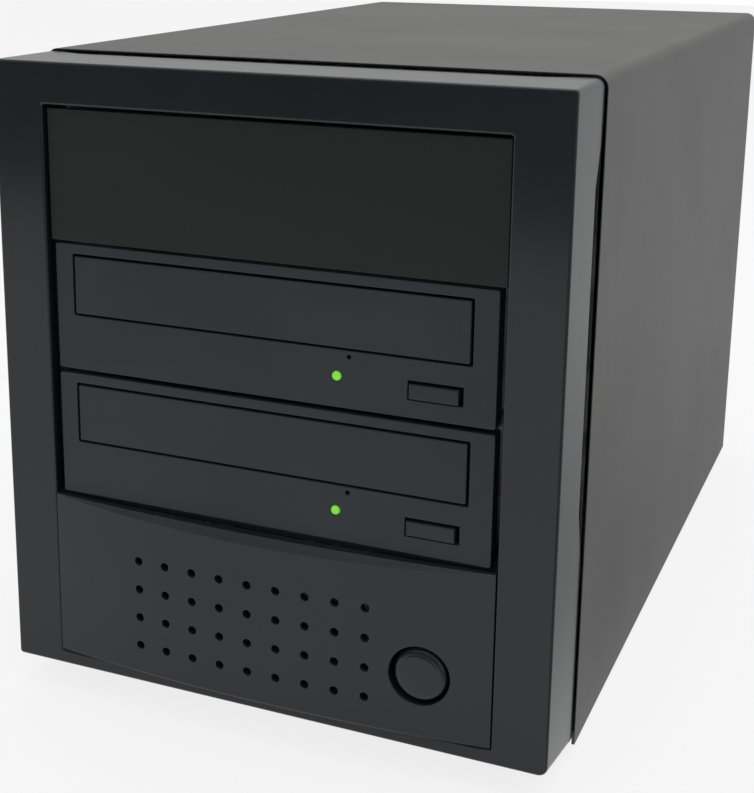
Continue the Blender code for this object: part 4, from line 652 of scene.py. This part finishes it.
class TOWER_OT_power_button(bpy.types.Operator):
    """Power button: a slightly crowned cap with a round edge on a guide stem"""

    bl_idname = "tower.power_button"
    bl_label = "Power button"

    def execute(self, context):
        low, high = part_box("power_button")
        radius = (high.x - low.x) / 2 - 0.0005
        edge = radius / 4
        fall = 0.0006
        rear, back, stem, length = 0.0100, 0.0060, 0.003, high.y - low.y
        wall = radius - 0.0012
        profile = [(0, 0), (radius * 0.4, -0.0001), (radius * 0.7, -0.0003), (radius - edge, -fall)]
        steps = 8
        for step in range(1, steps + 1):
            angle = math.pi / 2 * step / steps
            profile.append((radius - edge * (1 - math.sin(angle)), -fall - edge * (1 - math.cos(angle))))
        profile += [(radius, -rear), (wall, -rear), (wall, -back)]
        profile += [(stem, -back), (stem, -length), (0, -length)]
        centre = ((low.x + high.x) / 2, low.y, (low.z + high.z) / 2)
        thing = turned("button_cap", profile, centre, FRONTWARD, ACROSS, 72)
        finish(thing, "power_button", "gloss_black", "power_button")
        return {"FINISHED"}


class TOWER_OT_blank(bpy.types.Operator):
    """Blank of the upper bay with its two clip arms"""

    bl_idname = "tower.blank"
    bl_label = "Bay blank"

    def execute(self, context):
        low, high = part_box("bay_cover")
        face, back = low.y + 0.0002, low.y + 0.0022
        thing = add_box("bay_blank", (low.x + 0.0006, face, low.z), (high.x, back, high.z - 0.0004))
        round_edges(thing, lambda edge: both(edge, 1, face), radius=0.0004)
        quarter = (high.z - low.z) / 4
        for side in SIDES:
            inner, outer = sorted((side * 0.0705, side * 0.0727))
            arm = add_box("arm", (inner, back - 0.0005, low.z + quarter), (outer, high.y, high.z - quarter))
            carve(thing, arm, "UNION")
        finish(thing, "tower", "matte_black", "bay_cover")
        return {"FINISHED"}


class TOWER_OT_steel_cover(bpy.types.Operator):
    """Painted steel cover: folded over the top and both sides, with a flange round the rear"""

    bl_idname = "tower.steel_cover"
    bl_label = "Steel cover"

    def execute(self, context):
        size = sizes()
        low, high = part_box("case_cover")
        thing = add_box("steel_cover", low, high)
        edit(thing)
        pick("FACE", lambda face: face.normal.y < -0.9 or face.normal.z < -0.9)
        bpy.ops.mesh.delete(type="FACE")
        round_edges(thing, long_upper, size.cover_bend, 8)
        round_edges(thing, lambda edge: both(edge, 1, high.y) and edge.is_manifold, radius=0.0014, segments=4)
        use_modifier(thing, "SOLIDIFY", thickness=size.sheet, offset=-1, use_even_offset=True)
        half, top = 0.085, 0.2132
        window = add_box("window", (-half, high.y - PAST, low.z - PAST), (half, high.y + PAST, top))
        round_edges(window, long_upper, radius=0.002, segments=4)
        carve(thing, window)
        lip, depth, start = size.sheet / 4, 0.003, low.z + 0.0045
        hem = add_box("hem", (low.x + lip, low.y - PAST, start), (high.x - lip, low.y + depth, high.z - lip))
        round_edges(hem, long_upper, size.cover_bend - lip, 8)
        carve(thing, hem)
        finish(thing, "tower", "case_paint", "case_cover")
        return {"FINISHED"}


class TOWER_OT_drive_fronts(bpy.types.Operator):
    """Fronts of the drives: the surround, the tray's front, the eject button and the lit lens"""

    bl_idname = "tower.drive_fronts"
    bl_label = "Drive fronts"

    def execute(self, context):
        surround = low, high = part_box("drive_1_bezel")
        face = low.y
        tray = tray_low, tray_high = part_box("drive_1_tray_front")
        eject = button_low, button_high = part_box("drive_1_eject_button")
        lens_low, lens_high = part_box("drive_1_led")
        lens = (lens_low + lens_high) / 2

        thing = add_box("drive_1_surround", low, (high.x, face + 0.0024, high.z))
        round_edges(thing, lambda edge: along(edge, 1), radius=0.0008)
        rim = slab("rim", surround, -0.0004, face + 0.0012, high.y)
        carve(rim, slab("hollow", surround, -0.002, face, high.y + PAST))
        carve(thing, rim, "UNION")
        slot = slab("slot", tray, 0.0006, face - PAST, face + 2 * PAST)
        round_edges(slot, lambda edge: along(edge, 1), radius=0.0005)
        carve(thing, slot)
        carve(thing, slab("recess", eject, 0.0005, face - PAST, face + 2 * PAST))
        for x, z, radius, sides in ((lens.x, lens.z, 0.0017, 32), (*PIN_HOLE, 0.0007, 24)):
            carve(thing, add_rod("hole", (x, face - PAST, z), (x, face + PAST, z), radius, sides))
        round_edges(thing, lambda edge: both(edge, 1, face) and sharp(edge, 1), radius=0.00028, segments=2)

        start, end = Vector((0.0001, 0, 0.0001)), Vector((0.0003, 0, 0.0003))
        front = add_box("drive_1_tray_cap", tray_low + start, tray_high - end)
        round_edges(front, lambda edge: along(edge, 1), radius=0.0004)
        round_edges(front, lambda edge: both(edge, 1, tray_low.y), radius=0.00035)

        proud = face - 0.0004
        button = add_box(
            "drive_1_eject_cap",
            (button_low.x - 0.0001, proud, button_low.z - 0.0002),
            (button_high.x - 0.0009, button_high.y, button_high.z - 0.0006),
        )
        round_edges(button, lambda edge: both(edge, 1, proud), radius=0.0004)

        radius, back = (lens_high.x - lens_low.x) / 2, 0.0036
        profile = [(0, 0.0005), (radius * 0.4, 0.00044), (radius * 0.75, 0.0002), (radius * 0.95, -0.0001)]
        profile += [(radius, -0.0004), (radius, -back), (0, -back)]
        light = turned("drive_1_lens", profile, (lens.x, face - 0.0001, lens.z), FRONTWARD, ACROSS, 32)

        pieces = (
            (thing, "tower", "drive_grey", "bezel", "surround"),
            (front, "tray", "drive_grey", "tray_front", "tray_cap"),
            (button, "eject_button", "drive_grey", "eject_button", "eject_cap"),
            (light, "tower", "green_light", "led", "lens"),
        )
        for piece, body, slot_name, node, word in pieces:
            second = copy_of(piece, f"drive_2_{word}", (0, 0, -DRIVE_PITCH))
            for number, made in ((1, piece), (2, second)):
                carrier = body if body == "tower" else f"{body}_{number}"
                finish(made, carrier, slot_name, f"drive_{number}_{node}")
        return {"FINISHED"}


class TOWER_OT_wire_guard(bpy.types.Operator):
    """Wire guard over the supply's fan: round rings on two cross wires with eyelets at their ends"""

    bl_idname = "tower.wire_guard"
    bl_label = "Wire guard"

    def execute(self, context):
        low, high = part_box("psu_fan_guard")
        x, z = (low.x + high.x) / 2, (low.z + high.z) / 2
        wire, eyelet, reach = 0.0008, 0.0026, SCREW_REACH
        cross_y, ring_y = low.y + wire, high.y - wire
        rings = [(x, ring_y, z, radius) for radius in (0.012, 0.024, 0.036)]
        for side in SIDES:
            rings += [(x + side * reach, cross_y, z + level * reach, eyelet) for level in SIDES]
        parts = []
        for ring_x, ring_place, ring_z, radius in rings:
            deselect()
            bpy.ops.mesh.primitive_torus_add(
                major_radius=radius,
                minor_radius=wire,
                major_segments=96 if radius > eyelet else 32,
                minor_segments=12,
                location=(ring_x, ring_place, ring_z),
                rotation=(math.pi / 2, 0, 0),
            )
            parts.append(apply_place(context.object, "ring"))
        end = reach - eyelet / math.sqrt(2)
        for side in SIDES:
            start = (x - end, cross_y, z - side * end)
            parts.append(add_rod("cross_wire", start, (x + end, cross_y, z + side * end), wire, 12))
        thing = joined(parts)
        thing.name = "wire_guard"
        finish(thing, "tower", "polished_steel", "psu_fan_guard")
        return {"FINISHED"}


def screw_places():
    """Where each screw head sits: place across, face that it sits on, and height."""
    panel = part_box("rear_panel")[1].y
    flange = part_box("case_cover")[1].y
    wires = 0.0016
    for node, seat in (("psu_fan_frame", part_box("psu_fan_guard")[0].y + wires), ("case_fan_frame", panel)):
        low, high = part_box(node)
        x, z = (low.x + high.x) / 2, (low.z + high.z) / 2
        for side in SIDES:
            for level in SIDES:
                yield x + side * SCREW_REACH, seat, z + level * SCREW_REACH
    supply_half, flange_half = 0.0742, 0.0900
    for side in SIDES:
        for height in (0.1350, 0.2075):
            yield side * supply_half, panel, height
        for height in (0.030, 0.108, 0.186):
            yield side * flange_half, flange, height


class TOWER_OT_screws(bpy.types.Operator):
    """Screws on the rear: a pan head with a cross recess, modelled once and copied"""

    bl_idname = "tower.screws"
    bl_label = "Screws"

    def execute(self, context):
        radius, shank, depth = 0.0028, 0.0014, 0.0012
        profile = [(0, 0.00118), (0.0009, 0.00114), (0.0017, 0.00098), (0.0023, 0.00072), (0.0027, 0.00034)]
        profile += [(radius, 0.0001), (radius, 0.0), (shank, 0.0), (shank, -depth), (0, -depth)]
        head = turned("screw", profile, (0, 0, 0), (0, 1, 0), ACROSS, 40)
        arm, blade, floor, tip, past = 0.0014, 0.0003, 0.0004, 0.6, 0.002
        for half_x, half_z in ((arm, blade), (blade, arm)):
            slot = add_box("slot", (-half_x, floor, -half_z), (half_x, past, half_z))
            edit(slot)
            pick("VERT", lambda corner: near(corner.co.y, floor))
            bpy.ops.transform.resize(value=(tip, 1, tip))
            carve(head, slot)
        turn = 0.7
        for number, (x, y, z) in enumerate(screw_places(), 1):
            made = copy_of(head, f"screw_{number}", (x, y, z))
            edit(made)
            bpy.ops.mesh.select_all(action="SELECT")
            bpy.ops.transform.rotate(value=number * turn, orient_axis="Y", center_override=(x, y, z))
            finish(made, "tower", "polished_steel")
        bpy.data.objects.remove(head, do_unlink=True)
        return {"FINISHED"}


class TOWER_OT_feet(bpy.types.Operator):
    """Rubber feet: a turned foot with a countersunk middle, modelled once and copied"""

    bl_idname = "tower.feet"
    bl_label = "Feet"

    def execute(self, context):
        low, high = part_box(FEET[0])
        radius, top, stud = (high.x - low.x) / 2, 0.0035, 0.0025
        profile = [(0, 0.0026), (0.0020, 0.0026), (0.0030, 0.0018), (0.0030, 0.0005), (0.0034, 0.0001)]
        profile += [(0.0038, 0), (radius * 0.84, 0), (radius * 0.88, 0.0002), (radius * 0.91, 0.0006)]
        profile += [(radius, top - 0.0006), (radius * 0.99, top - 0.0002), (radius * 0.96, top)]
        profile += [(stud, top), (stud, high.z), (0, high.z)]
        centre = Vector(((low.x + high.x) / 2, (low.y + high.y) / 2, 0))
        first = turned("foot_1", profile, centre, (0, 0, 1), ACROSS, 48)
        feet = [first]
        for number, node in enumerate(FEET[1:], 2):
            other_low, other_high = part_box(node)
            move = (other_low + other_high) / 2 - centre
            feet.append(copy_of(first, f"foot_{number}", (move.x, move.y, 0)))
        for foot, node in zip(feet, FEET):
            finish(foot, "tower", "rubber", node)
        return {"FINISHED"}


# Pieces that keep their solid's shape, with softened edges
SOFTENED = {
    "rear_panel": 0.0002,
    "psu_base": 0.0002,
    "psu_cover": 0.0002,
    "power_inlet": 0.0004,
    "rocker_housing": 0.0003,
    "rocker_switch": 0.0004,
    "psu_fan_frame": 0.0004,
    "case_fan_frame": 0.0004,
    "psu_fan_rotor": 0.0003,
    "case_fan_rotor": 0.0003,
    "drive_1_tray": 0.0004,
    "drive_2_tray": 0.0004,
}


class TOWER_OT_softened_pieces(bpy.types.Operator):
    """Pieces that keep the shape of their solid: each is a copy with softened edges"""

    bl_idname = "tower.softened_pieces"
    bl_label = "Softened pieces"

    def execute(self, context):
        for node, width in SOFTENED.items():
            solid = frame["nodes"][node]
            thing = bpy.data.objects.new(node + "_softened", solid.data.copy())
            context.scene.collection.objects.link(thing)
            edit(thing)
            bpy.ops.mesh.select_all(action="SELECT")
            bpy.ops.mesh.remove_doubles(threshold=0.000002)
            bpy.ops.mesh.dissolve_limited(angle_limit=math.radians(0.5))
            use_modifier(
                thing, "BEVEL", width=width, segments=2, limit_method="ANGLE", angle_limit=SMOOTH_ANGLE
            )
            finish(thing, solid["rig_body"], SLOT_OF[node], node)
        return {"FINISHED"}


# Finishes


class Tree:
    """A node tree with short ways to add and join nodes."""

    def __init__(self, nodes_of):
        self.tree = nodes_of
        self.count = 0

    def add(self, kind, settings=None, **inputs):
        node = self.tree.nodes.new(kind)
        node.location = (220 * (self.count % 6), -320 * (self.count // 6))
        self.count += 1
        for key, value in (settings or {}).items():
            setattr(node, key, value)
        for key, value in inputs.items():
            self.feed(node.inputs[key.replace("_", " ")], value)
        return node

    def feed(self, socket, value):
        if isinstance(value, bpy.types.NodeSocket):
            self.tree.links.new(value, socket)
        else:
            socket.default_value = value

    def maths(self, operation, first, second=0.0, clamp=False):
        node = self.add("ShaderNodeMath", {"operation": operation, "use_clamp": clamp})
        self.feed(node.inputs[0], first)
        self.feed(node.inputs[1], second)
        return node.outputs[0]

    def times(self, first, second, clamp=False):
        return self.maths("MULTIPLY", first, second, clamp)

    def less(self, amount):
        """What is left of 1."""
        return self.maths("SUBTRACT", 1.0, amount)

    def noise(self, vector, scale, detail, **more):
        """A noise texture, as a value from 0 to 1."""
        node = self.add("ShaderNodeTexNoise", Vector=vector, Scale=scale, Detail=detail, **more)
        return node.outputs["Fac"]

    def ramp(self, value, start, end, low=0.0, high=1.0, steps="LINEAR"):
        """Low before the start, high after the end, and a rise or a fall between."""
        node = self.add(
            "ShaderNodeMapRange",
            {"interpolation_type": steps},
            Value=value,
            From_Min=start,
            From_Max=end,
            To_Min=low,
            To_Max=high,
        )
        return node.outputs["Result"]

    def mixed(self, share, first, second):
        node = self.add("ShaderNodeMix", {"data_type": "RGBA"}, Factor=share, A=first, B=second)
        return node.outputs["Result"]

    def blended(self, share, first, second):
        """The first shader where the share is 0, and the second where it is 1."""
        node = self.add("ShaderNodeMixShader", Fac=share)
        self.feed(node.inputs[1], first)
        self.feed(node.inputs[2], second)
        return node.outputs["Shader"]

    def group(self, name, **inputs):
        return self.add("ShaderNodeGroup", {"node_tree": bpy.data.node_groups[name]}, **inputs)

    def seen_rays(self):
        """The light path's glossy rays, and all rays through which the room is seen, as masks."""
        path = self.add("ShaderNodeLightPath")
        rays = self.maths("ADD", path.outputs["Is Camera Ray"], path.outputs["Is Glossy Ray"])
        rays = self.maths("ADD", rays, path.outputs["Is Transmission Ray"], clamp=True)
        return path.outputs["Is Glossy Ray"], rays


def empty_tree(owner):
    """The owner's own node tree, emptied."""
    owner.use_nodes = True
    owner.node_tree.nodes.clear()
    return Tree(owner.node_tree)


def new_group(name, inputs, outputs):
    group = bpy.data.node_groups.new(name, "ShaderNodeTree")
    for label, default in inputs:
        kind = "NodeSocketVector" if label == "Vector" else "NodeSocketFloat"
        socket = group.interface.new_socket(label, in_out="INPUT", socket_type=kind)
        if default is not None:
            socket.default_value = default
    for label in outputs:
        group.interface.new_socket(label, in_out="OUTPUT", socket_type="NodeSocketFloat")
    tree = Tree(group)
    start = tree.add("NodeGroupInput")
    end = tree.add("NodeGroupOutput")
    return tree, start.outputs, end.inputs


def grain_group():
    """Fine relief of a moulded or painted surface, as a height from 0 to 1."""
    inputs = (("Vector", None), ("Scale", 1500.0), ("Softness", 0.5))
    tree, given, out = new_group("Fine grain", inputs, ("Height",))
    fine = tree.noise(given["Vector"], given["Scale"], 3.0, Roughness=0.6)
    broad = tree.noise(given["Vector"], tree.times(given["Scale"], 0.23), 2.0)
    share = tree.times(broad, given["Softness"])
    height = tree.maths("ADD", tree.times(fine, tree.less(given["Softness"])), share)
    tree.feed(out["Height"], height)


def mottle_group():
    """Slow changes over a surface, such as flow marks or handling, as a mask from 0 to 1."""
    inputs = (("Vector", None), ("Scale", 18.0))
    tree, given, out = new_group("Mottle", inputs, ("Mask", "Streaks"))
    cloud = tree.noise(given["Vector"], given["Scale"], 4.0, Roughness=0.55, Distortion=0.4)
    tree.feed(out["Mask"], tree.ramp(cloud, 0.32, 0.68, steps="SMOOTHSTEP"))
    stretched = tree.add("ShaderNodeMapping", Vector=given["Vector"], Scale=(1.0, 6.0, 0.15))
    streaks = tree.noise(stretched.outputs["Vector"], tree.times(given["Scale"], 9.0), 2.0)
    tree.feed(out["Streaks"], streaks)


def dust_group():
    """A thin layer that settles on what faces up, as a mask."""
    inputs = (("Vector", None), ("Amount", 0.1))
    tree, given, out = new_group("Settled dust", inputs, ("Mask",))
    facing = tree.add("ShaderNodeSeparateXYZ", Vector=tree.add("ShaderNodeNewGeometry").outputs["Normal"])
    up = tree.maths("POWER", tree.maths("MAXIMUM", facing.outputs["Z"], 0.0), 2.0)
    specks = tree.noise(given["Vector"], 420.0, 5.0, Roughness=0.7)
    cloud = tree.noise(given["Vector"], 26.0, 3.0)
    layer = tree.times(tree.times(specks, cloud), 3.0)
    tree.feed(out["Mask"], tree.times(tree.times(up, layer), given["Amount"], clamp=True))


def wear_group():
    """Edges that handling has polished, as a mask from the angle between the real and the rounded normal."""
    inputs = (("Vector", None), ("Radius", 0.0006), ("Amount", 0.5))
    tree, given, out = new_group("Edge wear", inputs, ("Mask",))
    rounded = tree.add("ShaderNodeBevel", {"samples": 4}, Radius=given["Radius"])
    real = tree.add("ShaderNodeNewGeometry")
    meet = tree.add("ShaderNodeVectorMath", {"operation": "DOT_PRODUCT"})
    tree.feed(meet.inputs[0], rounded.outputs["Normal"])
    tree.feed(meet.inputs[1], real.outputs["Normal"])
    off = tree.times(tree.less(meet.outputs["Value"]), 5.0, clamp=True)
    patchy = tree.noise(given["Vector"], 160.0, 4.0)
    tree.feed(out["Mask"], tree.times(tree.times(off, patchy), given["Amount"]))


def lighter(colour, factor):
    return (*[min(1, part * factor) for part in colour], 1)


def new_material(name):
    """Starts a finish under the slot's name, in place of the plain one that came with the frame."""
    plain = bpy.data.materials.get(name)
    if plain:
        bpy.data.materials.remove(plain)
    tree = empty_tree(bpy.data.materials.new(name))
    shader = tree.add("ShaderNodeBsdfPrincipled")
    tree.add("ShaderNodeOutputMaterial", Surface=shader.outputs["BSDF"])
    place = tree.add("ShaderNodeTexCoord").outputs["Object"]
    centred = tree.add("ShaderNodeMapping", Vector=place, Location=(0.1, 0.2, 0.0))
    return tree, shader.inputs, centred.outputs["Vector"]


def paint_shader(tree, shader, tone, rough, height, strength, distance):
    """Joins the colour, the roughness and the relief to the shader."""
    tree.feed(shader["Base Color"], tone)
    tree.feed(shader["Roughness"], rough)
    relief = tree.add("ShaderNodeBump", Height=height, Strength=strength, Distance=distance)
    tree.feed(shader["Normal"], relief.outputs["Normal"])


def moulded(
    name, colour, roughness, grain_scale, grain_depth, softness=0.5, dust=0.06, wear=0.25, variation=0.12
):
    """Moulded plastic, rubber or paint: grain, slow changes of tone, dust and polished edges."""
    tree, shader, vector = new_material(name)
    grain = tree.group("Fine grain", Vector=vector, Scale=grain_scale, Softness=softness)
    mottle = tree.group("Mottle", Vector=vector, Scale=16.0).outputs
    layer = tree.group("Settled dust", Vector=vector, Amount=dust).outputs["Mask"]
    edges = tree.group("Edge wear", Vector=vector, Amount=wear).outputs["Mask"]
    tone = tree.mixed(mottle["Mask"], lighter(colour, 1 - variation), lighter(colour, 1 + variation))
    tone = tree.mixed(edges, tone, lighter([part + 0.02 for part in colour], 2.2))
    tone = tree.mixed(layer, tone, (0.32, 0.31, 0.29, 1))
    rough = tree.maths("ADD", roughness - 0.03, tree.times(mottle["Streaks"], 0.06))
    rough = tree.maths("ADD", rough, tree.times(layer, 0.4), clamp=True)
    paint_shader(tree, shader, tone, rough, grain.outputs["Height"], 0.6, grain_depth)
    shader["IOR"].default_value = 1.46


def sheet_metal(name, colour, roughness, spangle):
    """Zinc-coated or polished steel: crystals or brushing, stains and small scratches."""
    tree, shader, vector = new_material(name)
    crystals = tree.add("ShaderNodeTexVoronoi", {"feature": "F1"}, Vector=vector, Scale=spangle)
    shade = tree.add("ShaderNodeSeparateColor", Color=crystals.outputs["Color"]).outputs
    brushed = tree.add("ShaderNodeMapping", Vector=vector, Scale=(40.0, 900.0, 900.0))
    lines = tree.noise(brushed.outputs["Vector"], 1.0, 3.0)
    mottle = tree.group("Mottle", Vector=vector, Scale=24.0)
    tone = tree.mixed(shade["Red"], lighter(colour, 0.84), lighter(colour, 1.06))
    tone = tree.mixed(tree.times(mottle.outputs["Mask"], 0.25), tone, lighter(colour, 0.7))
    rough = tree.maths("ADD", roughness - 0.08, tree.times(shade["Green"], 0.10))
    rough = tree.maths("ADD", rough, tree.times(lines, 0.10))
    paint_shader(tree, shader, tone, rough, lines, 0.25, 0.00003)
    shader["Metallic"].default_value = 1.0


def circuit_board(name, colour):
    """Circuit board: solder mask over copper lanes, with pads."""
    tree, shader, vector = new_material(name)
    lanes = tree.add(
        "ShaderNodeTexBrick",
        {"offset": 0.37, "squash": 0.6},
        Vector=vector,
        Scale=160.0,
        Color1=lighter(colour, 0.75),
        Color2=lighter(colour, 1.25),
        Mortar=lighter(colour, 2.1),
        Mortar_Size=0.06,
    )
    pads = tree.add("ShaderNodeTexVoronoi", {"feature": "F1"}, Vector=vector, Scale=260.0, Randomness=0.35)
    dots = tree.maths("LESS_THAN", pads.outputs["Distance"], 0.16)
    tone = tree.mixed(tree.times(dots, 0.8), lanes.outputs["Color"], (0.60, 0.60, 0.56, 1))
    rough = tree.maths("SUBTRACT", 0.42, tree.times(dots, 0.15))
    paint_shader(tree, shader, tone, rough, lanes.outputs["Fac"], 0.4, 0.00004)


def lit_lens(name, colour):
    """Lit lens: a bright heart that fades to a deeper rim."""
    tree, shader, vector = new_material(name)
    sparkle = tree.noise(vector, 900.0, 2.0)
    tone = tree.mixed(sparkle, lighter(colour, 0.75), lighter(colour, 1.2))
    rough = tree.maths("ADD", 0.22, tree.times(sparkle, 0.1))
    paint_shader(tree, shader, tone, rough, sparkle, 0.2, 0.00002)
    facing = tree.add("ShaderNodeLayerWeight", Blend=0.35).outputs["Facing"]
    glow = tree.mixed(facing, lighter(colour, 1.1), lighter(colour, 0.35))
    tree.feed(shader["Emission Color"], glow)
    shader["Emission Strength"].default_value = 0.5


class TOWER_OT_finishes(bpy.types.Operator):
    """Finishes of all pieces, painted on every solid that stays in view"""

    bl_idname = "tower.finishes"
    bl_label = "Finishes"

    def execute(self, context):
        colours = context.scene.tower_colours
        for build in (grain_group, mottle_group, dust_group, wear_group):
            build()
        moulded("gloss_black", colours.front, 0.17, 900.0, 0.00001, softness=0.8, dust=0.05)
        moulded("matte_black", colours.blank, 0.52, 2600.0, 0.00005)
        moulded("drive_grey", colours.drive, 0.46, 2600.0, 0.00003)
        moulded("case_paint", colours.case, 0.42, 1500.0, 0.00006, softness=0.35, dust=0.16)
        moulded("loader_plastic", (0.024, 0.024, 0.026), 0.5, 2200.0, 0.00004)
        moulded("rubber", (0.014, 0.014, 0.014), 0.8, 1300.0, 0.00010, variation=0.25)
        moulded("white_plastic", (0.62, 0.61, 0.57), 0.45, 2200.0, 0.00003, wear=0.0, variation=0.04)
        sheet_metal("bare_steel", (0.55, 0.56, 0.57), 0.36, 110.0)
        sheet_metal("polished_steel", (0.62, 0.62, 0.63), 0.2, 700.0)
        circuit_board("board_green", colours.board)
        lit_lens("green_light", colours.light)
        for name, node in frame["nodes"].items():
            node.data.materials.clear()
            node.data.materials.append(bpy.data.materials[SLOT_OF[name]])
        return {"FINISHED"}


# Stage


def studio_surface(name, strength, mirrored):
    """White that the camera and the reflections see, with the shadow that falls on it.

    In reflections it grows darker beside the tower and towards the rear, as a table does away from its lamp.
    """
    material = bpy.data.materials.new(name)
    tree = empty_tree(material)
    plain = tree.add("ShaderNodeBsdfDiffuse", Color=(0.86, 0.86, 0.86, 1))
    glossy, rays = tree.seen_rays()
    place = tree.add("ShaderNodeSeparateXYZ", Vector=tree.add("ShaderNodeTexCoord").outputs["Object"]).outputs
    front_dim, side_dim, rear_dim = 0.05, 0.64, 1 - mirrored
    before = tree.ramp(place["Y"], -0.22, -0.04, front_dim, rear_dim)
    beside = tree.ramp(place["Y"], 0.0, 0.4, side_dim, rear_dim)
    right = tree.ramp(place["X"], 0.095, 0.13)
    fade = tree.maths("ADD", before, tree.times(right, tree.maths("SUBTRACT", beside, before)))
    brightness = tree.less(tree.times(glossy, fade))
    white = tree.add("ShaderNodeEmission", Color=WHITE, Strength=brightness)
    blend = tree.blended(tree.times(rays, strength), plain.outputs["BSDF"], white.outputs["Emission"])
    tree.add("ShaderNodeOutputMaterial", Surface=blend)
    return material


def card_surface(name):
    """Dark grey card that only reflections see."""
    material = bpy.data.materials.new(name)
    tree = empty_tree(material)
    grey = tree.add("ShaderNodeEmission", Color=(0.19, 0.20, 0.21, 1), Strength=1.0)
    tree.add("ShaderNodeOutputMaterial", Surface=grey.outputs["Emission"])
    return material


def room(strength, mirrored):
    """Even light all round, which the camera sees as white and reflections see dimmed."""
    world = bpy.data.worlds.new("room")
    tree = empty_tree(world)
    glossy, rays = tree.seen_rays()
    light = tree.add("ShaderNodeBackground", Color=WHITE, Strength=strength)
    brightness = tree.less(tree.times(glossy, 1 - mirrored))
    white = tree.add("ShaderNodeBackground", Color=WHITE, Strength=brightness)
    blend = tree.blended(rays, light.outputs["Background"], white.outputs["Background"])
    tree.add("ShaderNodeOutputWorld", Surface=blend)
    return world


def softbox(name, place, target, width, power):
    """A square soft light that faces its target."""
    data = bpy.data.lights.new(name, "AREA")
    data.shape = "RECTANGLE"
    data.size = data.size_y = width
    data.energy = power
    lamp = bpy.data.objects.new(name, data)
    lamp.location = place
    lamp.rotation_euler = (Vector(target) - Vector(place)).to_track_quat("-Z", "Y").to_euler()
    bpy.context.scene.collection.objects.link(lamp)


class TOWER_OT_stage(bpy.types.Operator):
    """White floor, soft lights and the camera"""

    bl_idname = "tower.stage"
    bl_label = "Stage"

    def execute(self, context):
        scene = context.scene
        studio = scene.tower_studio
        deselect()
        bpy.ops.mesh.primitive_plane_add(size=8.0, location=(0, 0, 0))
        floor = context.object
        floor.name = "floor"
        floor.data.materials.append(studio_surface("floor_white", 0.82, studio.mirrored))

        scene.world = room(studio.room, studio.mirrored)
        target = (0, 0, 0.1)
        softbox("top_light", (0.1, 0.1, 1.5), target, 1.6, studio.key)
        softbox("right_light", (1.5, -0.1, 0.6), target, 1.2, studio.side)
        softbox("left_light", (-1.5, 0.4, 0.7), target, 1.2, studio.side * 0.6)

        bpy.ops.mesh.primitive_plane_add(size=1, location=(-0.5, -0.95, 0.35), rotation=(math.pi / 2, 0, 0))
        card = context.object
        card.name = "dark_card"
        bpy.ops.transform.resize(value=(2.4, 1, 0.7))
        bpy.ops.object.transform_apply(location=True, rotation=True, scale=True)
        card.data.materials.append(card_surface("card_grey"))
        card.visible_camera = False
        card.visible_diffuse = False
        card.visible_shadow = False
        card.visible_transmission = False

        data = bpy.data.cameras.new("camera")
        data.lens = studio.lens
        data.sensor_width = 36.0
        data.shift_x = 0.076
        data.shift_y = -0.151
        data.clip_start = 0.01
        camera = bpy.data.objects.new("camera", data)
        camera.location = (0.1888, -0.5523, 0.2614)
        level = Euler((math.pi / 2 - studio.elevation, 0, studio.azimuth)).to_matrix()
        camera.rotation_euler = (level @ Matrix.Rotation(studio.roll, 3, "Z")).to_euler()
        scene.collection.objects.link(camera)
        scene.camera = camera
        scene.view_settings.view_transform = "Standard"
        return {"FINISHED"}


class TOWER_PT_sidebar(bpy.types.Panel):
    """Lists the steps that make the tower"""

    bl_idname = "TOWER_PT_sidebar"
    bl_label = "Tower"
    bl_space_type = "VIEW_3D"
    bl_region_type = "UI"
    bl_category = "Tower"

    def draw(self, context):
        for step in STEPS:
            self.layout.operator(step.bl_idname)


STEPS = (
    TOWER_OT_finishes,
    TOWER_OT_front_moulding,
    TOWER_OT_lower_panel,
    TOWER_OT_power_button,
    TOWER_OT_blank,
    TOWER_OT_steel_cover,
    TOWER_OT_drive_fronts,
    TOWER_OT_wire_guard,
    TOWER_OT_screws,
    TOWER_OT_feet,
    TOWER_OT_softened_pieces,
    TOWER_OT_stage,
)
SETTINGS = (TowerSizes, TowerColours, TowerStudio)


def register():
    for kind in (*SETTINGS, *STEPS, TOWER_PT_sidebar):
        bpy.utils.register_class(kind)
    bpy.types.Scene.tower_sizes = bpy.props.PointerProperty(type=TowerSizes)
    bpy.types.Scene.tower_colours = bpy.props.PointerProperty(type=TowerColours)
    bpy.types.Scene.tower_studio = bpy.props.PointerProperty(type=TowerStudio)


def unregister():
    del bpy.types.Scene.tower_sizes, bpy.types.Scene.tower_colours, bpy.types.Scene.tower_studio
    for kind in reversed((*SETTINGS, *STEPS, TOWER_PT_sidebar)):
        bpy.utils.unregister_class(kind)


def main():
    register()
    for step in STEPS:
        name = step.bl_idname.split(".")[1]
        getattr(bpy.ops.tower, name)()
    deselect()


if __name__ == "__main__":
    main()
